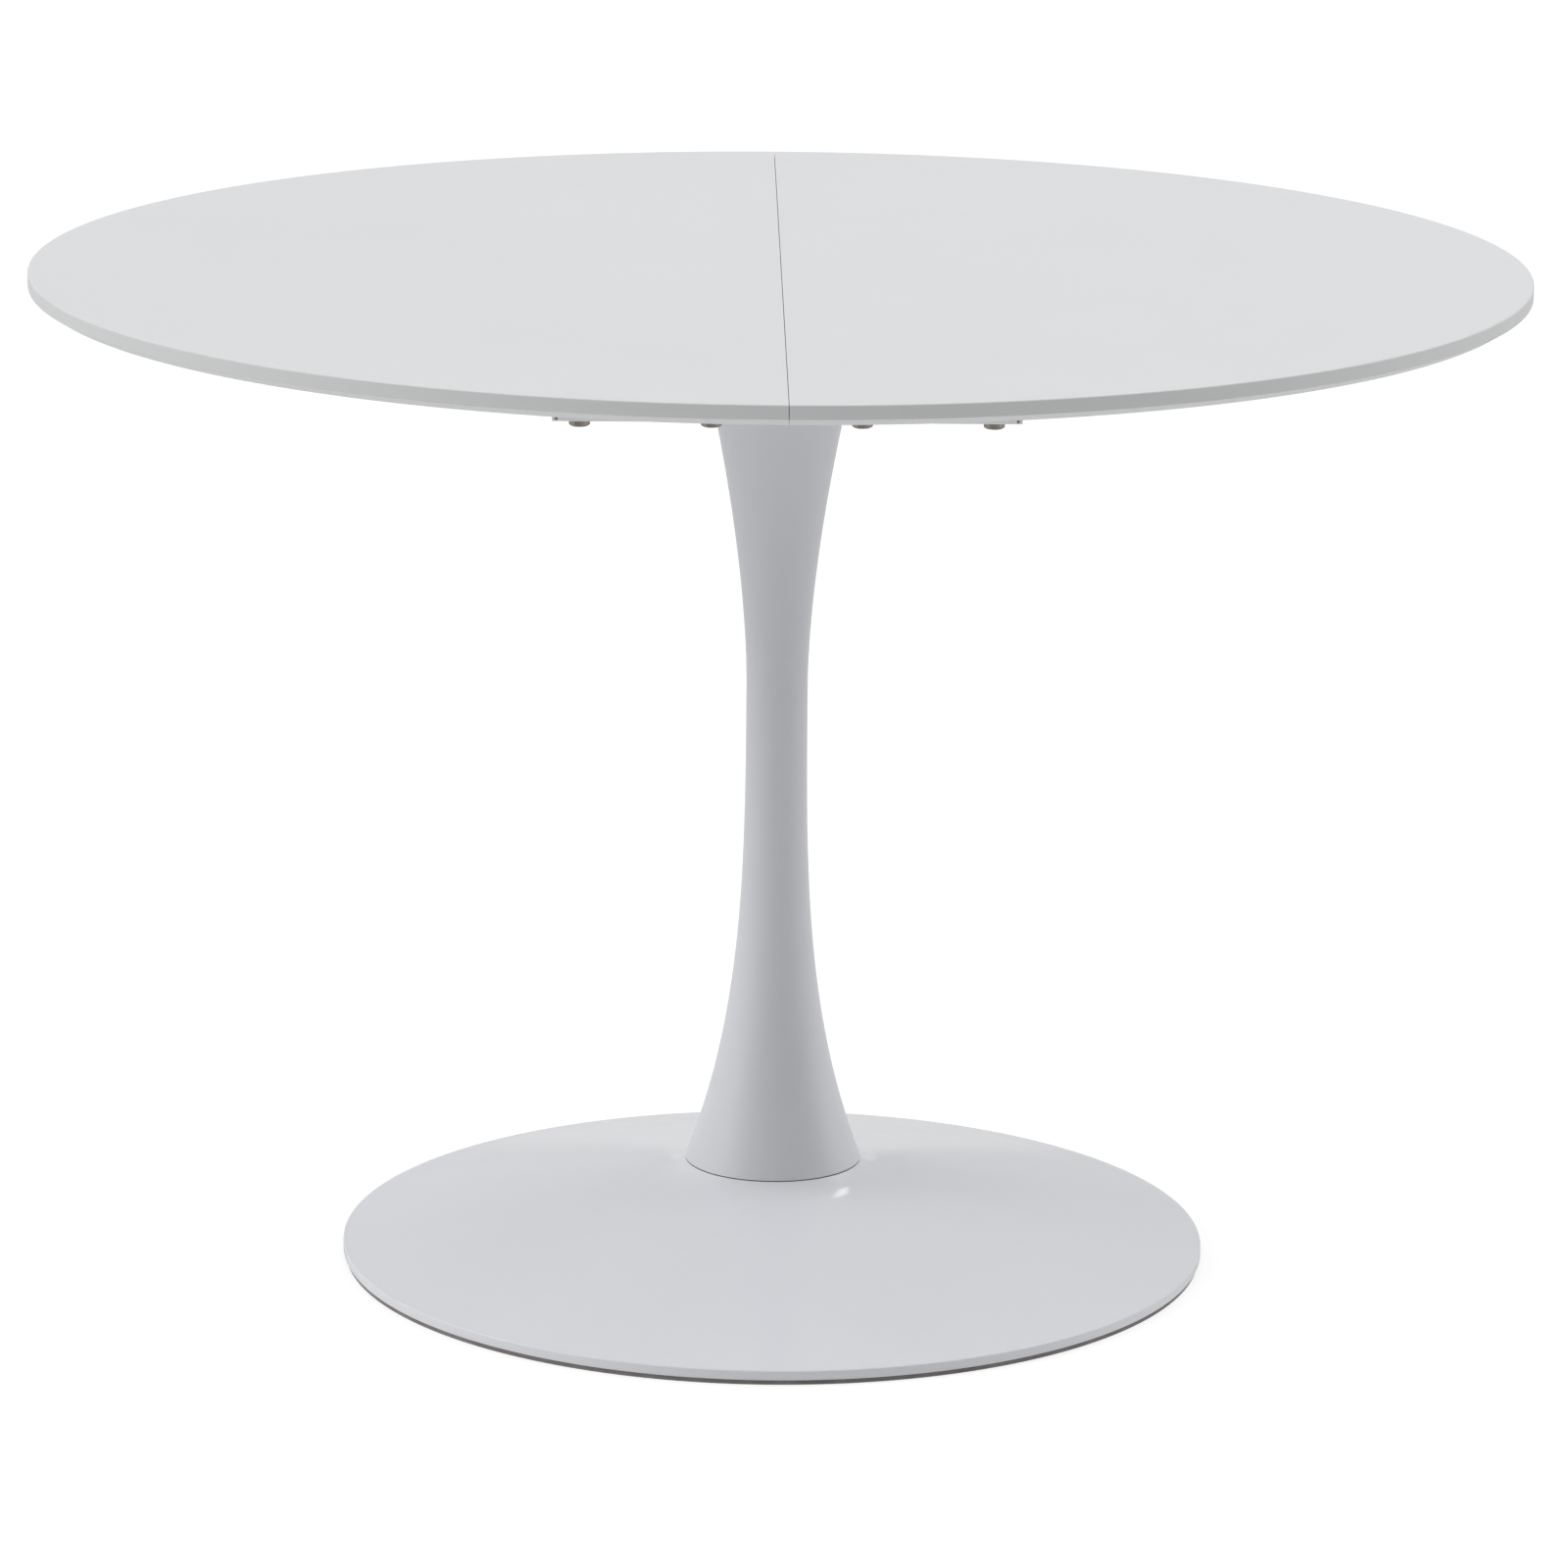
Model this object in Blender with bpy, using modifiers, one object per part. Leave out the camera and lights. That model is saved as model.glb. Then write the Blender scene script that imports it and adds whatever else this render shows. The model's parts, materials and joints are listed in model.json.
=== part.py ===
"""Extending round pedestal table.

Metres, +Z up. The origin is on the floor, on the column's axis. The seam between the two halves of
the top runs along Y, and the halves part along X: left is -X, and front is -Y.
"""

import math

import bmesh
import bpy
from mathutils import Matrix

# Whole table
GAP = 0.0003  # left between pieces that touch
CUTTER_MARGIN = 0.002  # how far a cutter runs past the face that it opens
HEIGHT = 0.755
TOP_RADIUS = 0.550
BASE_RADIUS = 0.325

# Top: a flat board with a small round on its upper edge, an upright band, and a bevel underneath
TOP_THICKNESS = 0.015
EDGE_ROUND = 0.0012
BAND_HEIGHT = 0.010
BEVEL_WIDTH = 0.008
SEAM_WIDTH = 0.0004
TOP_SEGMENTS = 96
UNDERSIDE = HEIGHT - TOP_THICKNESS

# Pins that line the halves up across the seam
PIN_RADIUS = 0.004
PIN_DEPTH = 0.017  # in the left half
PIN_REACH = 0.014  # past the seam's middle, into the right half
PIN_PLACES = (-0.43, -0.15, 0.15, 0.43)

# Crossbars: rectangular tubes under the rails
CROSSBAR_LENGTH = 0.332
CROSSBAR_X = 0.003  # the crossbars' middle, a little off the column's axis
CROSSBAR_WIDTH = 0.050
CROSSBAR_HEIGHT = 0.025
CROSSBAR_WALL = 0.0025
FRAME_BOTTOM = HEIGHT - 0.075
CROSSBAR_TOP = FRAME_BOTTOM + CROSSBAR_HEIGHT
VENT_RADIUS = 0.0012  # small hole near each end of a crossbar's outer wall
VENT_INSET = 0.003
VENT_RISE = 0.0022

# Slides: a fixed rail between two runners, the inner one on the left half of the top
RAIL_Y = 0.200
RAIL_HALF_LENGTH = 0.300
RAIL_HALF_WIDTH = 0.012
RAIL_HEIGHT = 0.032
GROOVE_DEPTH = 0.0065
GROOVE_HALF_HEIGHT = 0.0055
GROOVE_TAPER = 0.0002  # off each side of a groove, from its mouth to its floor
TONGUE_Z = UNDERSIDE - 0.013
TONGUE_HALF_HEIGHT = 0.005
TONGUE_LENGTH = 0.006
SIDE_PLAY = 0.0005
RUNNER_WIDTH = 0.018
RUNNER_HEIGHT = 0.0237
RUNNER_OUTER_END = 0.400
RUNNER_INNER_END = 0.200  # past the seam, under the other half
RELIEF = 0.0015  # taken off a runner's top where it passes under the other half
RELIEF_START = 0.002  # on the runner's own side of the seam
TRAVEL = 0.200
RAIL_BOTTOM = CROSSBAR_TOP + GAP
RUNNER_TOP = UNDERSIDE - GAP
RUNNER_BOTTOM = RUNNER_TOP - RUNNER_HEIGHT
RUNNER_MIDDLE = RAIL_HALF_WIDTH + SIDE_PLAY + RUNNER_WIDTH / 2  # from the rail's middle

# Fasteners of the slides
BOLT_PLACES = (-0.1470, -0.0535, 0.0535, 0.1470)  # along a crossbar, from its middle
BOLT_SHANK = 0.004
BOLT_FLANGE = 0.0085
BOLT_FLANGE_HEIGHT = 0.0015
BOLT_HEAD_FLATS = 0.013
BOLT_HEAD_HEIGHT = 0.0055
BOLT_EDGE = 0.0005
BOLT_REACH = 0.039
SCREW_PLACES = (0.360, 0.060)
SCREW_SHANK = 0.0022
SCREW_HEAD = 0.0045
SCREW_HEAD_HEIGHT = 0.0025
SCREW_HEAD_EDGE = 0.001
SCREW_HEAD_FLAT = 0.0031  # radius of the head's flat end
SCREW_TAPER = 0.0035
SCREW_REACH = 0.0115  # into the board
HOLE_PLAY = 0.0003
STOP_THICKNESS = 0.003
STOP_HEIGHT = 0.0085
STOP_WIDTH = 0.036
STOP_SHIFT = 0.008  # from the rail's middle, towards the runner
STUD_RADIUS = 0.003
STUD_HEIGHT = 0.0067
STOP_CLEARANCE = 0.001

# Seam catches, a swing hook and a keeper on each side of the rails
LATCH_Y = 0.360
LATCH_PIVOT_X = -0.030
KEEPER_X = 0.016
LATCH_SWING = math.radians(75)
LATCH_SHAFT = 0.004
LATCH_SHOULDER = 0.006
LATCH_HEAD = 0.007
LATCH_HEAD_HEIGHT = 0.0022
HOOK_THICKNESS = 0.003
HOOK_DROP = 0.004  # from the underside of the top to the hook's upper face
HOOK_BOSS = 0.010
HOOK_INNER = 0.0520
HOOK_OUTER = 0.0590
HOOK_TIP_ANGLE = math.radians(-14)
HOOK_ARM_ANGLE = math.radians(30)
HOOK_THROAT_ANGLE = math.radians(14)
HOOK_HEEL_ANGLE = math.radians(-20)
THUMB_LENGTH = 0.036
THUMB_RADIUS = 0.006

# Plate and ribs on the column's head
PLATE_HALF_LENGTH = 0.110
PLATE_THICKNESS = 0.006
PLATE_HALF_WIDTH = RAIL_Y - CROSSBAR_WIDTH / 2 - GAP
RIB_X = 0.0975
RIB_THICKNESS = 0.005

# Column: a waist that opens as a power curve towards each end
COLUMN_TOP = FRAME_BOTTOM - GAP
COLUMN_BOTTOM = 0.0726
COLUMN_WALL = 0.003
COLUMN_SEGMENTS = 36
COLUMN_RINGS = 16
WAIST_Z = 0.443
WAIST_RADIUS = 0.0229
HEAD_RADIUS = 0.0555
HEAD_POWER = 1.65
FOOT_RADIUS = 0.0665
FOOT_POWER = 3.3

# Base cover: a shallow cone whose middle flares up to the column's foot
COVER_TOP = 0.0720
COVER_WALL = 0.0016
COVER_RIM_TOP = 0.0105
COVER_SLOPE = math.tan(math.radians(11.5))
COVER_FLARE_REACH = 0.011
COVER_RIM_ROUND = 0.003
COVER_SEGMENTS = 56
COVER_RINGS = 12
COVER_SPACING_POWER = 1.8

# Inside the base
PAD_THICKNESS = 0.0035
PAD_OUTER = 0.3235
PAD_INNER = 0.262
BASE_PLATE_RADIUS = 0.300
BASE_PLATE_THICKNESS = 0.006
BASE_PLATE_HOLE = 0.022
BALLAST_RADIUS = 0.190
BALLAST_THICKNESS = 0.008
COUNTERBORE_RADIUS = 0.017
COUNTERBORE_DEPTH = 0.004
COVER_BOTTOM = PAD_THICKNESS + GAP
BALLAST_BOTTOM = COVER_BOTTOM + BASE_PLATE_THICKNESS + GAP
BALLAST_TOP = BALLAST_BOTTOM + BALLAST_THICKNESS

# Tie rod and the pieces that it holds
ROD_RADIUS = 0.007
ROD_BOTTOM = 0.0015
ROD_TOP = FRAME_BOTTOM + 0.026
BORE_RADIUS = ROD_RADIUS + HOLE_PLAY
WASHER_RADIUS = 0.015
WASHER_THICKNESS = 0.0025
NUT_FLATS = 0.022
NUT_HEIGHT = 0.011
THIN_NUT_HEIGHT = 0.008
SOCKET_NECK = 0.034
SOCKET_SHOULDER = 0.0643
SOCKET_SHOULDER_HEIGHT = 0.006
SOCKET_SPIGOT = 0.056
SOCKET_SPIGOT_HEIGHT = 0.0137
SPIGOT_RADIUS = 0.047
SPIGOT_HEIGHT = 0.012

PLATE_SEGMENTS = 40
SPIGOT_SEGMENTS = 28
ROUND_SEGMENTS = 12  # of small round pieces
SMOOTH_ANGLE = math.radians(35)
SCREW_MERGE = 0.0001

FINISHES = {
    # name: (colour, roughness, metallic)
    "top_lacquer": ((0.72, 0.73, 0.74), 0.45, 0.0),
    "column_coat": ((0.70, 0.71, 0.73), 0.35, 0.0),
    "cover_gloss": ((0.72, 0.73, 0.75), 0.12, 0.0),
    "frame_coat": ((0.66, 0.67, 0.68), 0.45, 0.0),
    "beech": ((0.62, 0.42, 0.24), 0.55, 0.0),
    "zinc": ((0.52, 0.50, 0.45), 0.35, 1.0),
    "raw_steel": ((0.22, 0.22, 0.23), 0.50, 1.0),
    "pad_rubber": ((0.12, 0.11, 0.11), 0.85, 0.0),
}


def clear_scene():
    for old in list(bpy.data.objects):
        bpy.data.objects.remove(old, do_unlink=True)


def new_collection(name):
    collection = bpy.data.collections.new(name)
    bpy.context.scene.collection.children.link(collection)
    return collection


def new_material(name, colour, roughness, metallic):
    material = bpy.data.materials.new(name)
    material.use_nodes = True
    shader = material.node_tree.nodes["Principled BSDF"]
    shader.inputs["Base Color"].default_value = (*colour, 1.0)
    shader.inputs["Roughness"].default_value = roughness
    shader.inputs["Metallic"].default_value = metallic
    material.diffuse_color = (*colour, 1.0)
    return material


def new_empty(name, location=(0.0, 0.0, 0.0)):
    empty = bpy.data.objects.new(name, None)
    empty.empty_display_size = 0.05
    empty.location = location
    PARTS.objects.link(empty)
    return empty


def new_object(name, mesh, finish, parent, location=(0.0, 0.0, 0.0)):
    """A piece of the table. The location is relative to the parent."""
    part = bpy.data.objects.new(name, mesh)
    part.location = location
    part.parent = parent
    if not mesh.materials:
        mesh.materials.append(MATERIALS[finish])
    PARTS.objects.link(part)
    return part


def new_cutter(name, mesh):
    cutter = bpy.data.objects.new(name, mesh)
    cutter.hide_render = True
    cutter.display_type = "WIRE"
    CUTTERS.objects.link(cutter)
    return cutter


def boolean(part, other, operation="DIFFERENCE"):
    modifier = part.modifiers.new(operation.lower(), "BOOLEAN")
    modifier.operation = operation
    modifier.object = other


def finished_mesh(bm, name):
    """The bmesh as a mesh with its faces pointing out, smooth except at its sharp edges."""
    bmesh.ops.recalc_face_normals(bm, faces=bm.faces)
    mesh = bpy.data.meshes.new(name)
    bm.to_mesh(mesh)
    bm.free()
    mesh.shade_smooth()
    mesh.set_sharp_from_angle(angle=SMOOTH_ANGLE)
    return mesh


def evaluated_mesh(part):
    """A copy of the object's mesh with its modifiers applied."""
    bpy.context.view_layer.update()
    graph = bpy.context.evaluated_depsgraph_get()
    mesh = bpy.data.meshes.new_from_object(part.evaluated_get(graph))
    mesh.name = part.name
    return mesh


def box_mesh(name, size, centre=(0.0, 0.0, 0.0)):
    bm = bmesh.new()
    place = Matrix.Translation(centre) @ Matrix.Diagonal((*size, 1.0))
    bmesh.ops.create_cube(bm, size=1.0, matrix=place)
    return finished_mesh(bm, name)


def cylinders_mesh(name, radius, length, centres, turn=Matrix.Identity(4), segments=ROUND_SEGMENTS):
    """Equal cylinders along Z, or along the direction that turn brings Z to."""
    bm = bmesh.new()
    for centre in centres:
        bmesh.ops.create_cone(
            bm,
            cap_ends=True,
            segments=segments,
            radius1=radius,
            radius2=radius,
            depth=length,
            matrix=Matrix.Translation(centre) @ turn,
        )
    return finished_mesh(bm, name)


def arc(centre, radius, start, end, steps):
    """Points along an arc, both ends included."""
    points = []
    for step in range(steps + 1):
        angle = start + (end - start) * step / steps
        points.append((centre[0] + radius * math.cos(angle), centre[1] + radius * math.sin(angle)))
    return points


def turned(name, profile, finish, parent, segments=ROUND_SEGMENTS, closed=True, location=(0.0, 0.0, 0.0)):
    """A profile of (radius, z) points, spun about Z. It runs down the outer side first."""
    mesh = bpy.data.meshes.new(name)
    count = len(profile)
    edges = [(index, index + 1) for index in range(count - 1)]
    if closed:
        edges.append((count - 1, 0))
    mesh.from_pydata([(radius, 0.0, z) for radius, z in profile], edges, [])
    part = new_object(name, mesh, finish, parent, location)
    screw = part.modifiers.new("turn", "SCREW")
    screw.axis = "Z"
    screw.steps = segments
    screw.render_steps = segments
    screw.use_merge_vertices = True
    screw.merge_threshold = SCREW_MERGE
    screw.use_smooth_shade = True
    return part


def ring(name, inner, outer, bottom, top, finish, parent, segments=ROUND_SEGMENTS):
    profile = [(outer, top), (outer, bottom), (inner, bottom), (inner, top)]
    return turned(name, profile, finish, parent, segments)


def outline_mesh(name, loops, thickness):
    """A flat outline with holes, in the XY plane, thickened to both sides of it."""
    curve = bpy.data.curves.new(name, "CURVE")
    curve.dimensions = "2D"
    curve.fill_mode = "BOTH"
    curve.extrude = thickness / 2
    for loop in loops:
        spline = curve.splines.new("POLY")
        spline.points.add(len(loop) - 1)
        for point, (x, y) in zip(spline.points, loop):
            point.co = (x, y, 0.0, 1.0)
        spline.use_cyclic_u = True
    guide = bpy.data.objects.new(name + "_outline", curve)
    bpy.context.scene.collection.objects.link(guide)
    mesh = evaluated_mesh(guide)
    bpy.data.objects.remove(guide, do_unlink=True)
    bm = bmesh.new()
    bm.from_mesh(mesh)
    bmesh.ops.remove_doubles(bm, verts=bm.verts, dist=0.00001)
    bmesh.ops.dissolve_limit(bm, angle_limit=0.001, verts=bm.verts, edges=bm.edges)
    return finished_mesh(bm, name)


def bar_mesh(name, section, length):
    """A section of (y, z) points, drawn out along X to both sides of the origin."""
    mesh = outline_mesh(name, [section], length)
    along_x = Matrix(((0, 0, 1, 0), (1, 0, 0, 0), (0, 1, 0, 0), (0, 0, 0, 1)))
    mesh.transform(along_x)
    return mesh


def hexagon_mesh(name, flats, bottom, top):
    bm = bmesh.new()
    radius = flats / math.sqrt(3)
    place = Matrix.Translation((0.0, 0.0, (bottom + top) / 2))
    bmesh.ops.create_cone(
        bm, cap_ends=True, segments=6, radius1=radius, radius2=radius, depth=top - bottom, matrix=place
    )
    return finished_mesh(bm, name)


def offset_inward(profile, distance):
    """The profile moved towards the axis, or down where it runs outwards, by the wall's thickness."""
    moved = []
    last = len(profile) - 1
    for index, (radius, z) in enumerate(profile):
        before = profile[max(index - 1, 0)]
        after = profile[min(index + 1, last)]
        run = after[0] - before[0]
        fall = after[1] - before[1]
        length = math.hypot(run, fall)
        moved.append((radius + distance * fall / length, z - distance * run / length))
    return moved


def build_pins(left_half):
    """Pins across the seam, and the two cutters for their holes."""
    along_x = Matrix.Rotation(math.pi / 2, 4, "Y")
    z = HEIGHT - TOP_THICKNESS / 2
    length = PIN_DEPTH - GAP + PIN_REACH
    pin = cylinders_mesh("seam_pin", PIN_RADIUS, length, [(0.0, 0.0, 0.0)], along_x)
    for number, y in enumerate(PIN_PLACES, 1):
        middle = PIN_REACH - length / 2
        new_object(f"seam_pin_{number}", pin, "beech", left_half, (middle, y, z))
    hole_length = 2 * PIN_DEPTH
    centres = [(0.0, y, z) for y in PIN_PLACES]
    holes = cylinders_mesh("pin_holes", PIN_RADIUS + HOLE_PLAY, hole_length, centres, along_x)
    return new_cutter("pin_holes", holes)


def build_tops(left_half, right_half):
    """The halves of the top, each a full disc cut off past the seam and drilled for its pins and screws."""
    rim = TOP_RADIUS - EDGE_ROUND
    profile = [(0.0, HEIGHT)]
    profile += reversed(arc((rim, HEIGHT - EDGE_ROUND), EDGE_ROUND, 0.0, math.pi / 2, 3))
    profile += [(TOP_RADIUS, HEIGHT - BAND_HEIGHT), (TOP_RADIUS - BEVEL_WIDTH, UNDERSIDE), (0.0, UNDERSIDE)]
    pin_holes = build_pins(left_half)
    for side, name, parent in ((-1, "left", left_half), (1, "right", right_half)):
        top = turned(name + "_top", profile, "top_lacquer", parent, TOP_SEGMENTS, closed=False)
        size = (TOP_RADIUS * 2, TOP_RADIUS * 3, TOP_THICKNESS * 4)
        middle = (-side * (TOP_RADIUS - SEAM_WIDTH / 2), 0.0, HEIGHT)
        boolean(top, new_cutter(name + "_half_off", box_mesh("half_off", size, middle)))
        boolean(top, pin_holes)
        boolean(top, build_screw_holes(side, name))


def runner_y(half, inner_outer):
    """Y of a runner's middle. half is -1 for the front slide and 1 for the back one."""
    return half * (RAIL_Y + inner_outer * RUNNER_MIDDLE)


def build_screw_holes(side, name):
    """Cutter for the holes that one half's runners share with the board above them."""
    centres = []
    top = UNDERSIDE + SCREW_REACH + 2 * GAP
    length = top - RUNNER_BOTTOM + CUTTER_MARGIN
    for slide in (-1, 1):
        for x in SCREW_PLACES:
            centres.append((side * x, runner_y(slide, side), top - length / 2))
    mesh = cylinders_mesh("screw_holes", SCREW_SHANK + HOLE_PLAY, length, centres)
    return new_cutter(name + "_screw_holes", mesh)


def build_rails(pedestal):
    """Fixed bars, with a groove along each side and blind holes for the bolts."""
    width = RAIL_HALF_WIDTH
    web = width - GROOVE_DEPTH
    low = TONGUE_Z - GROOVE_HALF_HEIGHT
    high = TONGUE_Z + GROOVE_HALF_HEIGHT
    top = RAIL_BOTTOM + RAIL_HEIGHT
    floor_low = low + GROOVE_TAPER
    floor_high = high - GROOVE_TAPER
    right = [
        (width, RAIL_BOTTOM),
        (width, low),
        (web, floor_low),
        (web, floor_high),
        (width, high),
        (width, top),
    ]
    section = right + [(-y, z) for y, z in reversed(right)]
    for slide, name in ((-1, "front"), (1, "back")):
        mesh = bar_mesh(name + "_rail", section, RAIL_HALF_LENGTH * 2)
        rail = new_object(name + "_rail", mesh, "beech", pedestal, (0.0, slide * RAIL_Y, 0.0))
        boolean(rail, build_bolt_holes(slide, name))


def build_bolt_holes(slide, name):
    """Cutter for the bolt holes through a crossbar and into its rail."""
    top = FRAME_BOTTOM + BOLT_REACH + GAP
    length = top - FRAME_BOTTOM + CUTTER_MARGIN
    centres = [(CROSSBAR_X + x, slide * RAIL_Y, top - length / 2) for x in BOLT_PLACES]
    mesh = cylinders_mesh("bolt_holes", BOLT_SHANK + HOLE_PLAY, length, centres)
    return new_cutter(name + "_bolt_holes", mesh)


def build_runners(halves):
    """Bars with a tongue towards their rail, lower where they pass under the other half of the top."""
    near = RAIL_HALF_WIDTH + SIDE_PLAY
    far = near + RUNNER_WIDTH
    tip = near - TONGUE_LENGTH
    low = TONGUE_Z - TONGUE_HALF_HEIGHT
    high = TONGUE_Z + TONGUE_HALF_HEIGHT
    section = [
        (near, RUNNER_BOTTOM),
        (far, RUNNER_BOTTOM),
        (far, RUNNER_TOP),
        (near, RUNNER_TOP),
        (near, high),
        (tip, high),
        (tip, low),
        (near, low),
    ]
    length = RUNNER_OUTER_END + RUNNER_INNER_END
    number = 0
    for slide, slide_name in ((-1, "front"), (1, "back")):
        for side, side_name, parent in halves:
            name = f"{slide_name}_{side_name}_runner"
            turned_round = slide * side
            mesh = bar_mesh(name, [(turned_round * y, z) for y, z in section], length)
            x = side * (RUNNER_OUTER_END - RUNNER_INNER_END) / 2
            runner = new_object(name, mesh, "beech", parent, (x, slide * RAIL_Y, 0.0))
            boolean(runner, bpy.data.objects[side_name + "_screw_holes"])
            boolean(runner, build_relief(name, side, runner_y(slide, side)))
            build_runner_screws(side, parent, runner_y(slide, side), number)
            build_stop(slide, side, parent, number // 2 + 1)
            number += 2


def build_relief(name, side, y):
    """Cutter that lowers the stretch of a runner that lies under the other half of the top."""
    reach = RELIEF_START + RUNNER_INNER_END + CUTTER_MARGIN
    size = (reach, RUNNER_WIDTH + CUTTER_MARGIN, RELIEF * 2)
    centre = (side * (RELIEF_START - reach / 2), y, RUNNER_TOP)
    return new_cutter(name + "_relief", box_mesh("relief", size, centre))


def build_runner_screws(side, parent, y, used):
    """Pan head screws up through a runner into the board."""
    neck = RUNNER_BOTTOM - GAP
    bottom = neck - SCREW_HEAD_HEIGHT
    tip = UNDERSIDE + SCREW_REACH
    profile = [
        (0.0, tip),
        (SCREW_SHANK, tip - SCREW_TAPER),
        (SCREW_SHANK, neck),
        (SCREW_HEAD, neck),
        (SCREW_HEAD, bottom + SCREW_HEAD_EDGE),
        (SCREW_HEAD_FLAT, bottom),
        (0.0, bottom),
    ]
    for number, x in enumerate(SCREW_PLACES, used + 1):
        name = f"runner_screw_{number}"
        turned(name, profile, "zinc", parent, closed=False, location=(side * x, y, 0.0))


def build_stop(slide, side, parent, number):
    """A plate on the end of the rail, and the stud under the runner that meets it at full travel."""
    pedestal = bpy.data.objects["pedestal"]
    size = (STOP_THICKNESS, STOP_WIDTH, STOP_HEIGHT)
    x = side * (RAIL_HALF_LENGTH + GAP + STOP_THICKNESS / 2)
    y = slide * (RAIL_Y + side * STOP_SHIFT)
    z = RUNNER_BOTTOM - STOP_CLEARANCE - STOP_HEIGHT / 2
    new_object(f"stop_plate_{number}", box_mesh("stop_plate", size), "zinc", pedestal, (x, y, z))
    stud = cylinders_mesh("stop_stud", STUD_RADIUS, STUD_HEIGHT, [(0.0, 0.0, 0.0)])
    stud_x = side * (RAIL_HALF_LENGTH - TRAVEL - STUD_RADIUS)
    stud_z = RUNNER_BOTTOM - GAP - STUD_HEIGHT / 2
    new_object(f"stop_stud_{number}", stud, "zinc", parent, (stud_x, runner_y(slide, side), stud_z))


def build_crossbars(pedestal):
    """Rectangular tubes, open at both ends, drilled for the bolts."""
    size = (CROSSBAR_LENGTH, CROSSBAR_WIDTH, CROSSBAR_HEIGHT)
    hollow = (
        CROSSBAR_LENGTH + 2 * CUTTER_MARGIN,
        CROSSBAR_WIDTH - 2 * CROSSBAR_WALL,
        CROSSBAR_HEIGHT - 2 * CROSSBAR_WALL,
    )
    z = FRAME_BOTTOM + CROSSBAR_HEIGHT / 2
    across = Matrix.Rotation(math.pi / 2, 4, "X")
    vent_x = CROSSBAR_LENGTH / 2 - VENT_INSET
    for slide, name in ((-1, "front"), (1, "back")):
        y = slide * RAIL_Y
        middle = (CROSSBAR_X, y, z)
        bar = new_object(name + "_crossbar", box_mesh("crossbar", size), "frame_coat", pedestal, middle)
        boolean(bar, new_cutter(name + "_crossbar_hollow", box_mesh("hollow", hollow, middle)))
        boolean(bar, bpy.data.objects[name + "_bolt_holes"])
        wall_y = slide * (RAIL_Y + CROSSBAR_WIDTH / 2)
        vent_places = (CROSSBAR_X - vent_x, CROSSBAR_X + vent_x)
        centres = [(x, wall_y, FRAME_BOTTOM + VENT_RISE) for x in vent_places]
        vents = cylinders_mesh("vents", VENT_RADIUS, CROSSBAR_WALL * 3, centres, across, segments=8)
        boolean(bar, new_cutter(name + "_vents", vents))


def build_bolts(pedestal):
    """Flanged hexagon bolts, whose flange lies against the crossbar from below."""
    flange_bottom = -BOLT_FLANGE_HEIGHT
    profile = [
        (0.0, BOLT_REACH),
        (BOLT_SHANK, BOLT_REACH),
        (BOLT_SHANK, 0.0),
        (BOLT_FLANGE, 0.0),
        (BOLT_FLANGE, flange_bottom + BOLT_EDGE),
        (BOLT_FLANGE - BOLT_EDGE, flange_bottom),
        (0.0, flange_bottom),
    ]
    blank = turned("bolt_blank", profile, "zinc", pedestal, closed=False)
    head_bottom = flange_bottom - BOLT_HEAD_HEIGHT
    head = hexagon_mesh("bolt_head", BOLT_HEAD_FLATS, head_bottom, flange_bottom + BOLT_EDGE)
    boolean(blank, new_cutter("bolt_head", head), "UNION")
    mesh = evaluated_mesh(blank)
    bpy.data.objects.remove(blank, do_unlink=True)
    number = 0
    for slide in (-1, 1):
        for x in BOLT_PLACES:
            number += 1
            place = (CROSSBAR_X + x, slide * RAIL_Y, FRAME_BOTTOM - GAP)
            new_object(f"rail_bolt_{number}", mesh, "zinc", pedestal, place)


def build_mounting_plate(pedestal):
    """The plate between the crossbars, with its rod hole, and the ribs that stiffen it."""
    size = (PLATE_HALF_LENGTH * 2, PLATE_HALF_WIDTH * 2, PLATE_THICKNESS)
    z = FRAME_BOTTOM + PLATE_THICKNESS / 2
    plate = new_object("mounting_plate", box_mesh("mounting_plate", size), "frame_coat", pedestal, (0, 0, z))
    hole = cylinders_mesh("plate_hole", BORE_RADIUS, PLATE_THICKNESS * 3, [(0.0, 0.0, z)])
    boolean(plate, new_cutter("plate_hole", hole))
    rib_bottom = FRAME_BOTTOM + PLATE_THICKNESS + GAP
    rib_height = CROSSBAR_TOP - GAP - rib_bottom
    rib_size = (RIB_THICKNESS, PLATE_HALF_WIDTH * 2, rib_height)
    for side, name in ((-1, "left_rib"), (1, "right_rib")):
        place = (side * RIB_X, 0.0, rib_bottom + rib_height / 2)
        new_object(name, box_mesh("rib", rib_size), "frame_coat", pedestal, place)


def column_radius(z):
    if z >= WAIST_Z:
        rise = (z - WAIST_Z) / (COLUMN_TOP - WAIST_Z)
        return WAIST_RADIUS + (HEAD_RADIUS - WAIST_RADIUS) * rise**HEAD_POWER
    drop = (WAIST_Z - z) / (WAIST_Z - COLUMN_BOTTOM)
    return WAIST_RADIUS + (FOOT_RADIUS - WAIST_RADIUS) * drop**FOOT_POWER


def build_column(pedestal):
    """A thin shell, open at both ends."""
    outer = []
    for step in range(COLUMN_RINGS + 1):
        z = COLUMN_TOP + (COLUMN_BOTTOM - COLUMN_TOP) * step / COLUMN_RINGS
        outer.append((column_radius(z), z))
    inner = offset_inward(outer, COLUMN_WALL)
    inner[0] = (inner[0][0], COLUMN_TOP)
    inner[-1] = (inner[-1][0], COLUMN_BOTTOM)
    turned("column", outer + inner[::-1], "column_coat", pedestal, COLUMN_SEGMENTS)


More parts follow.
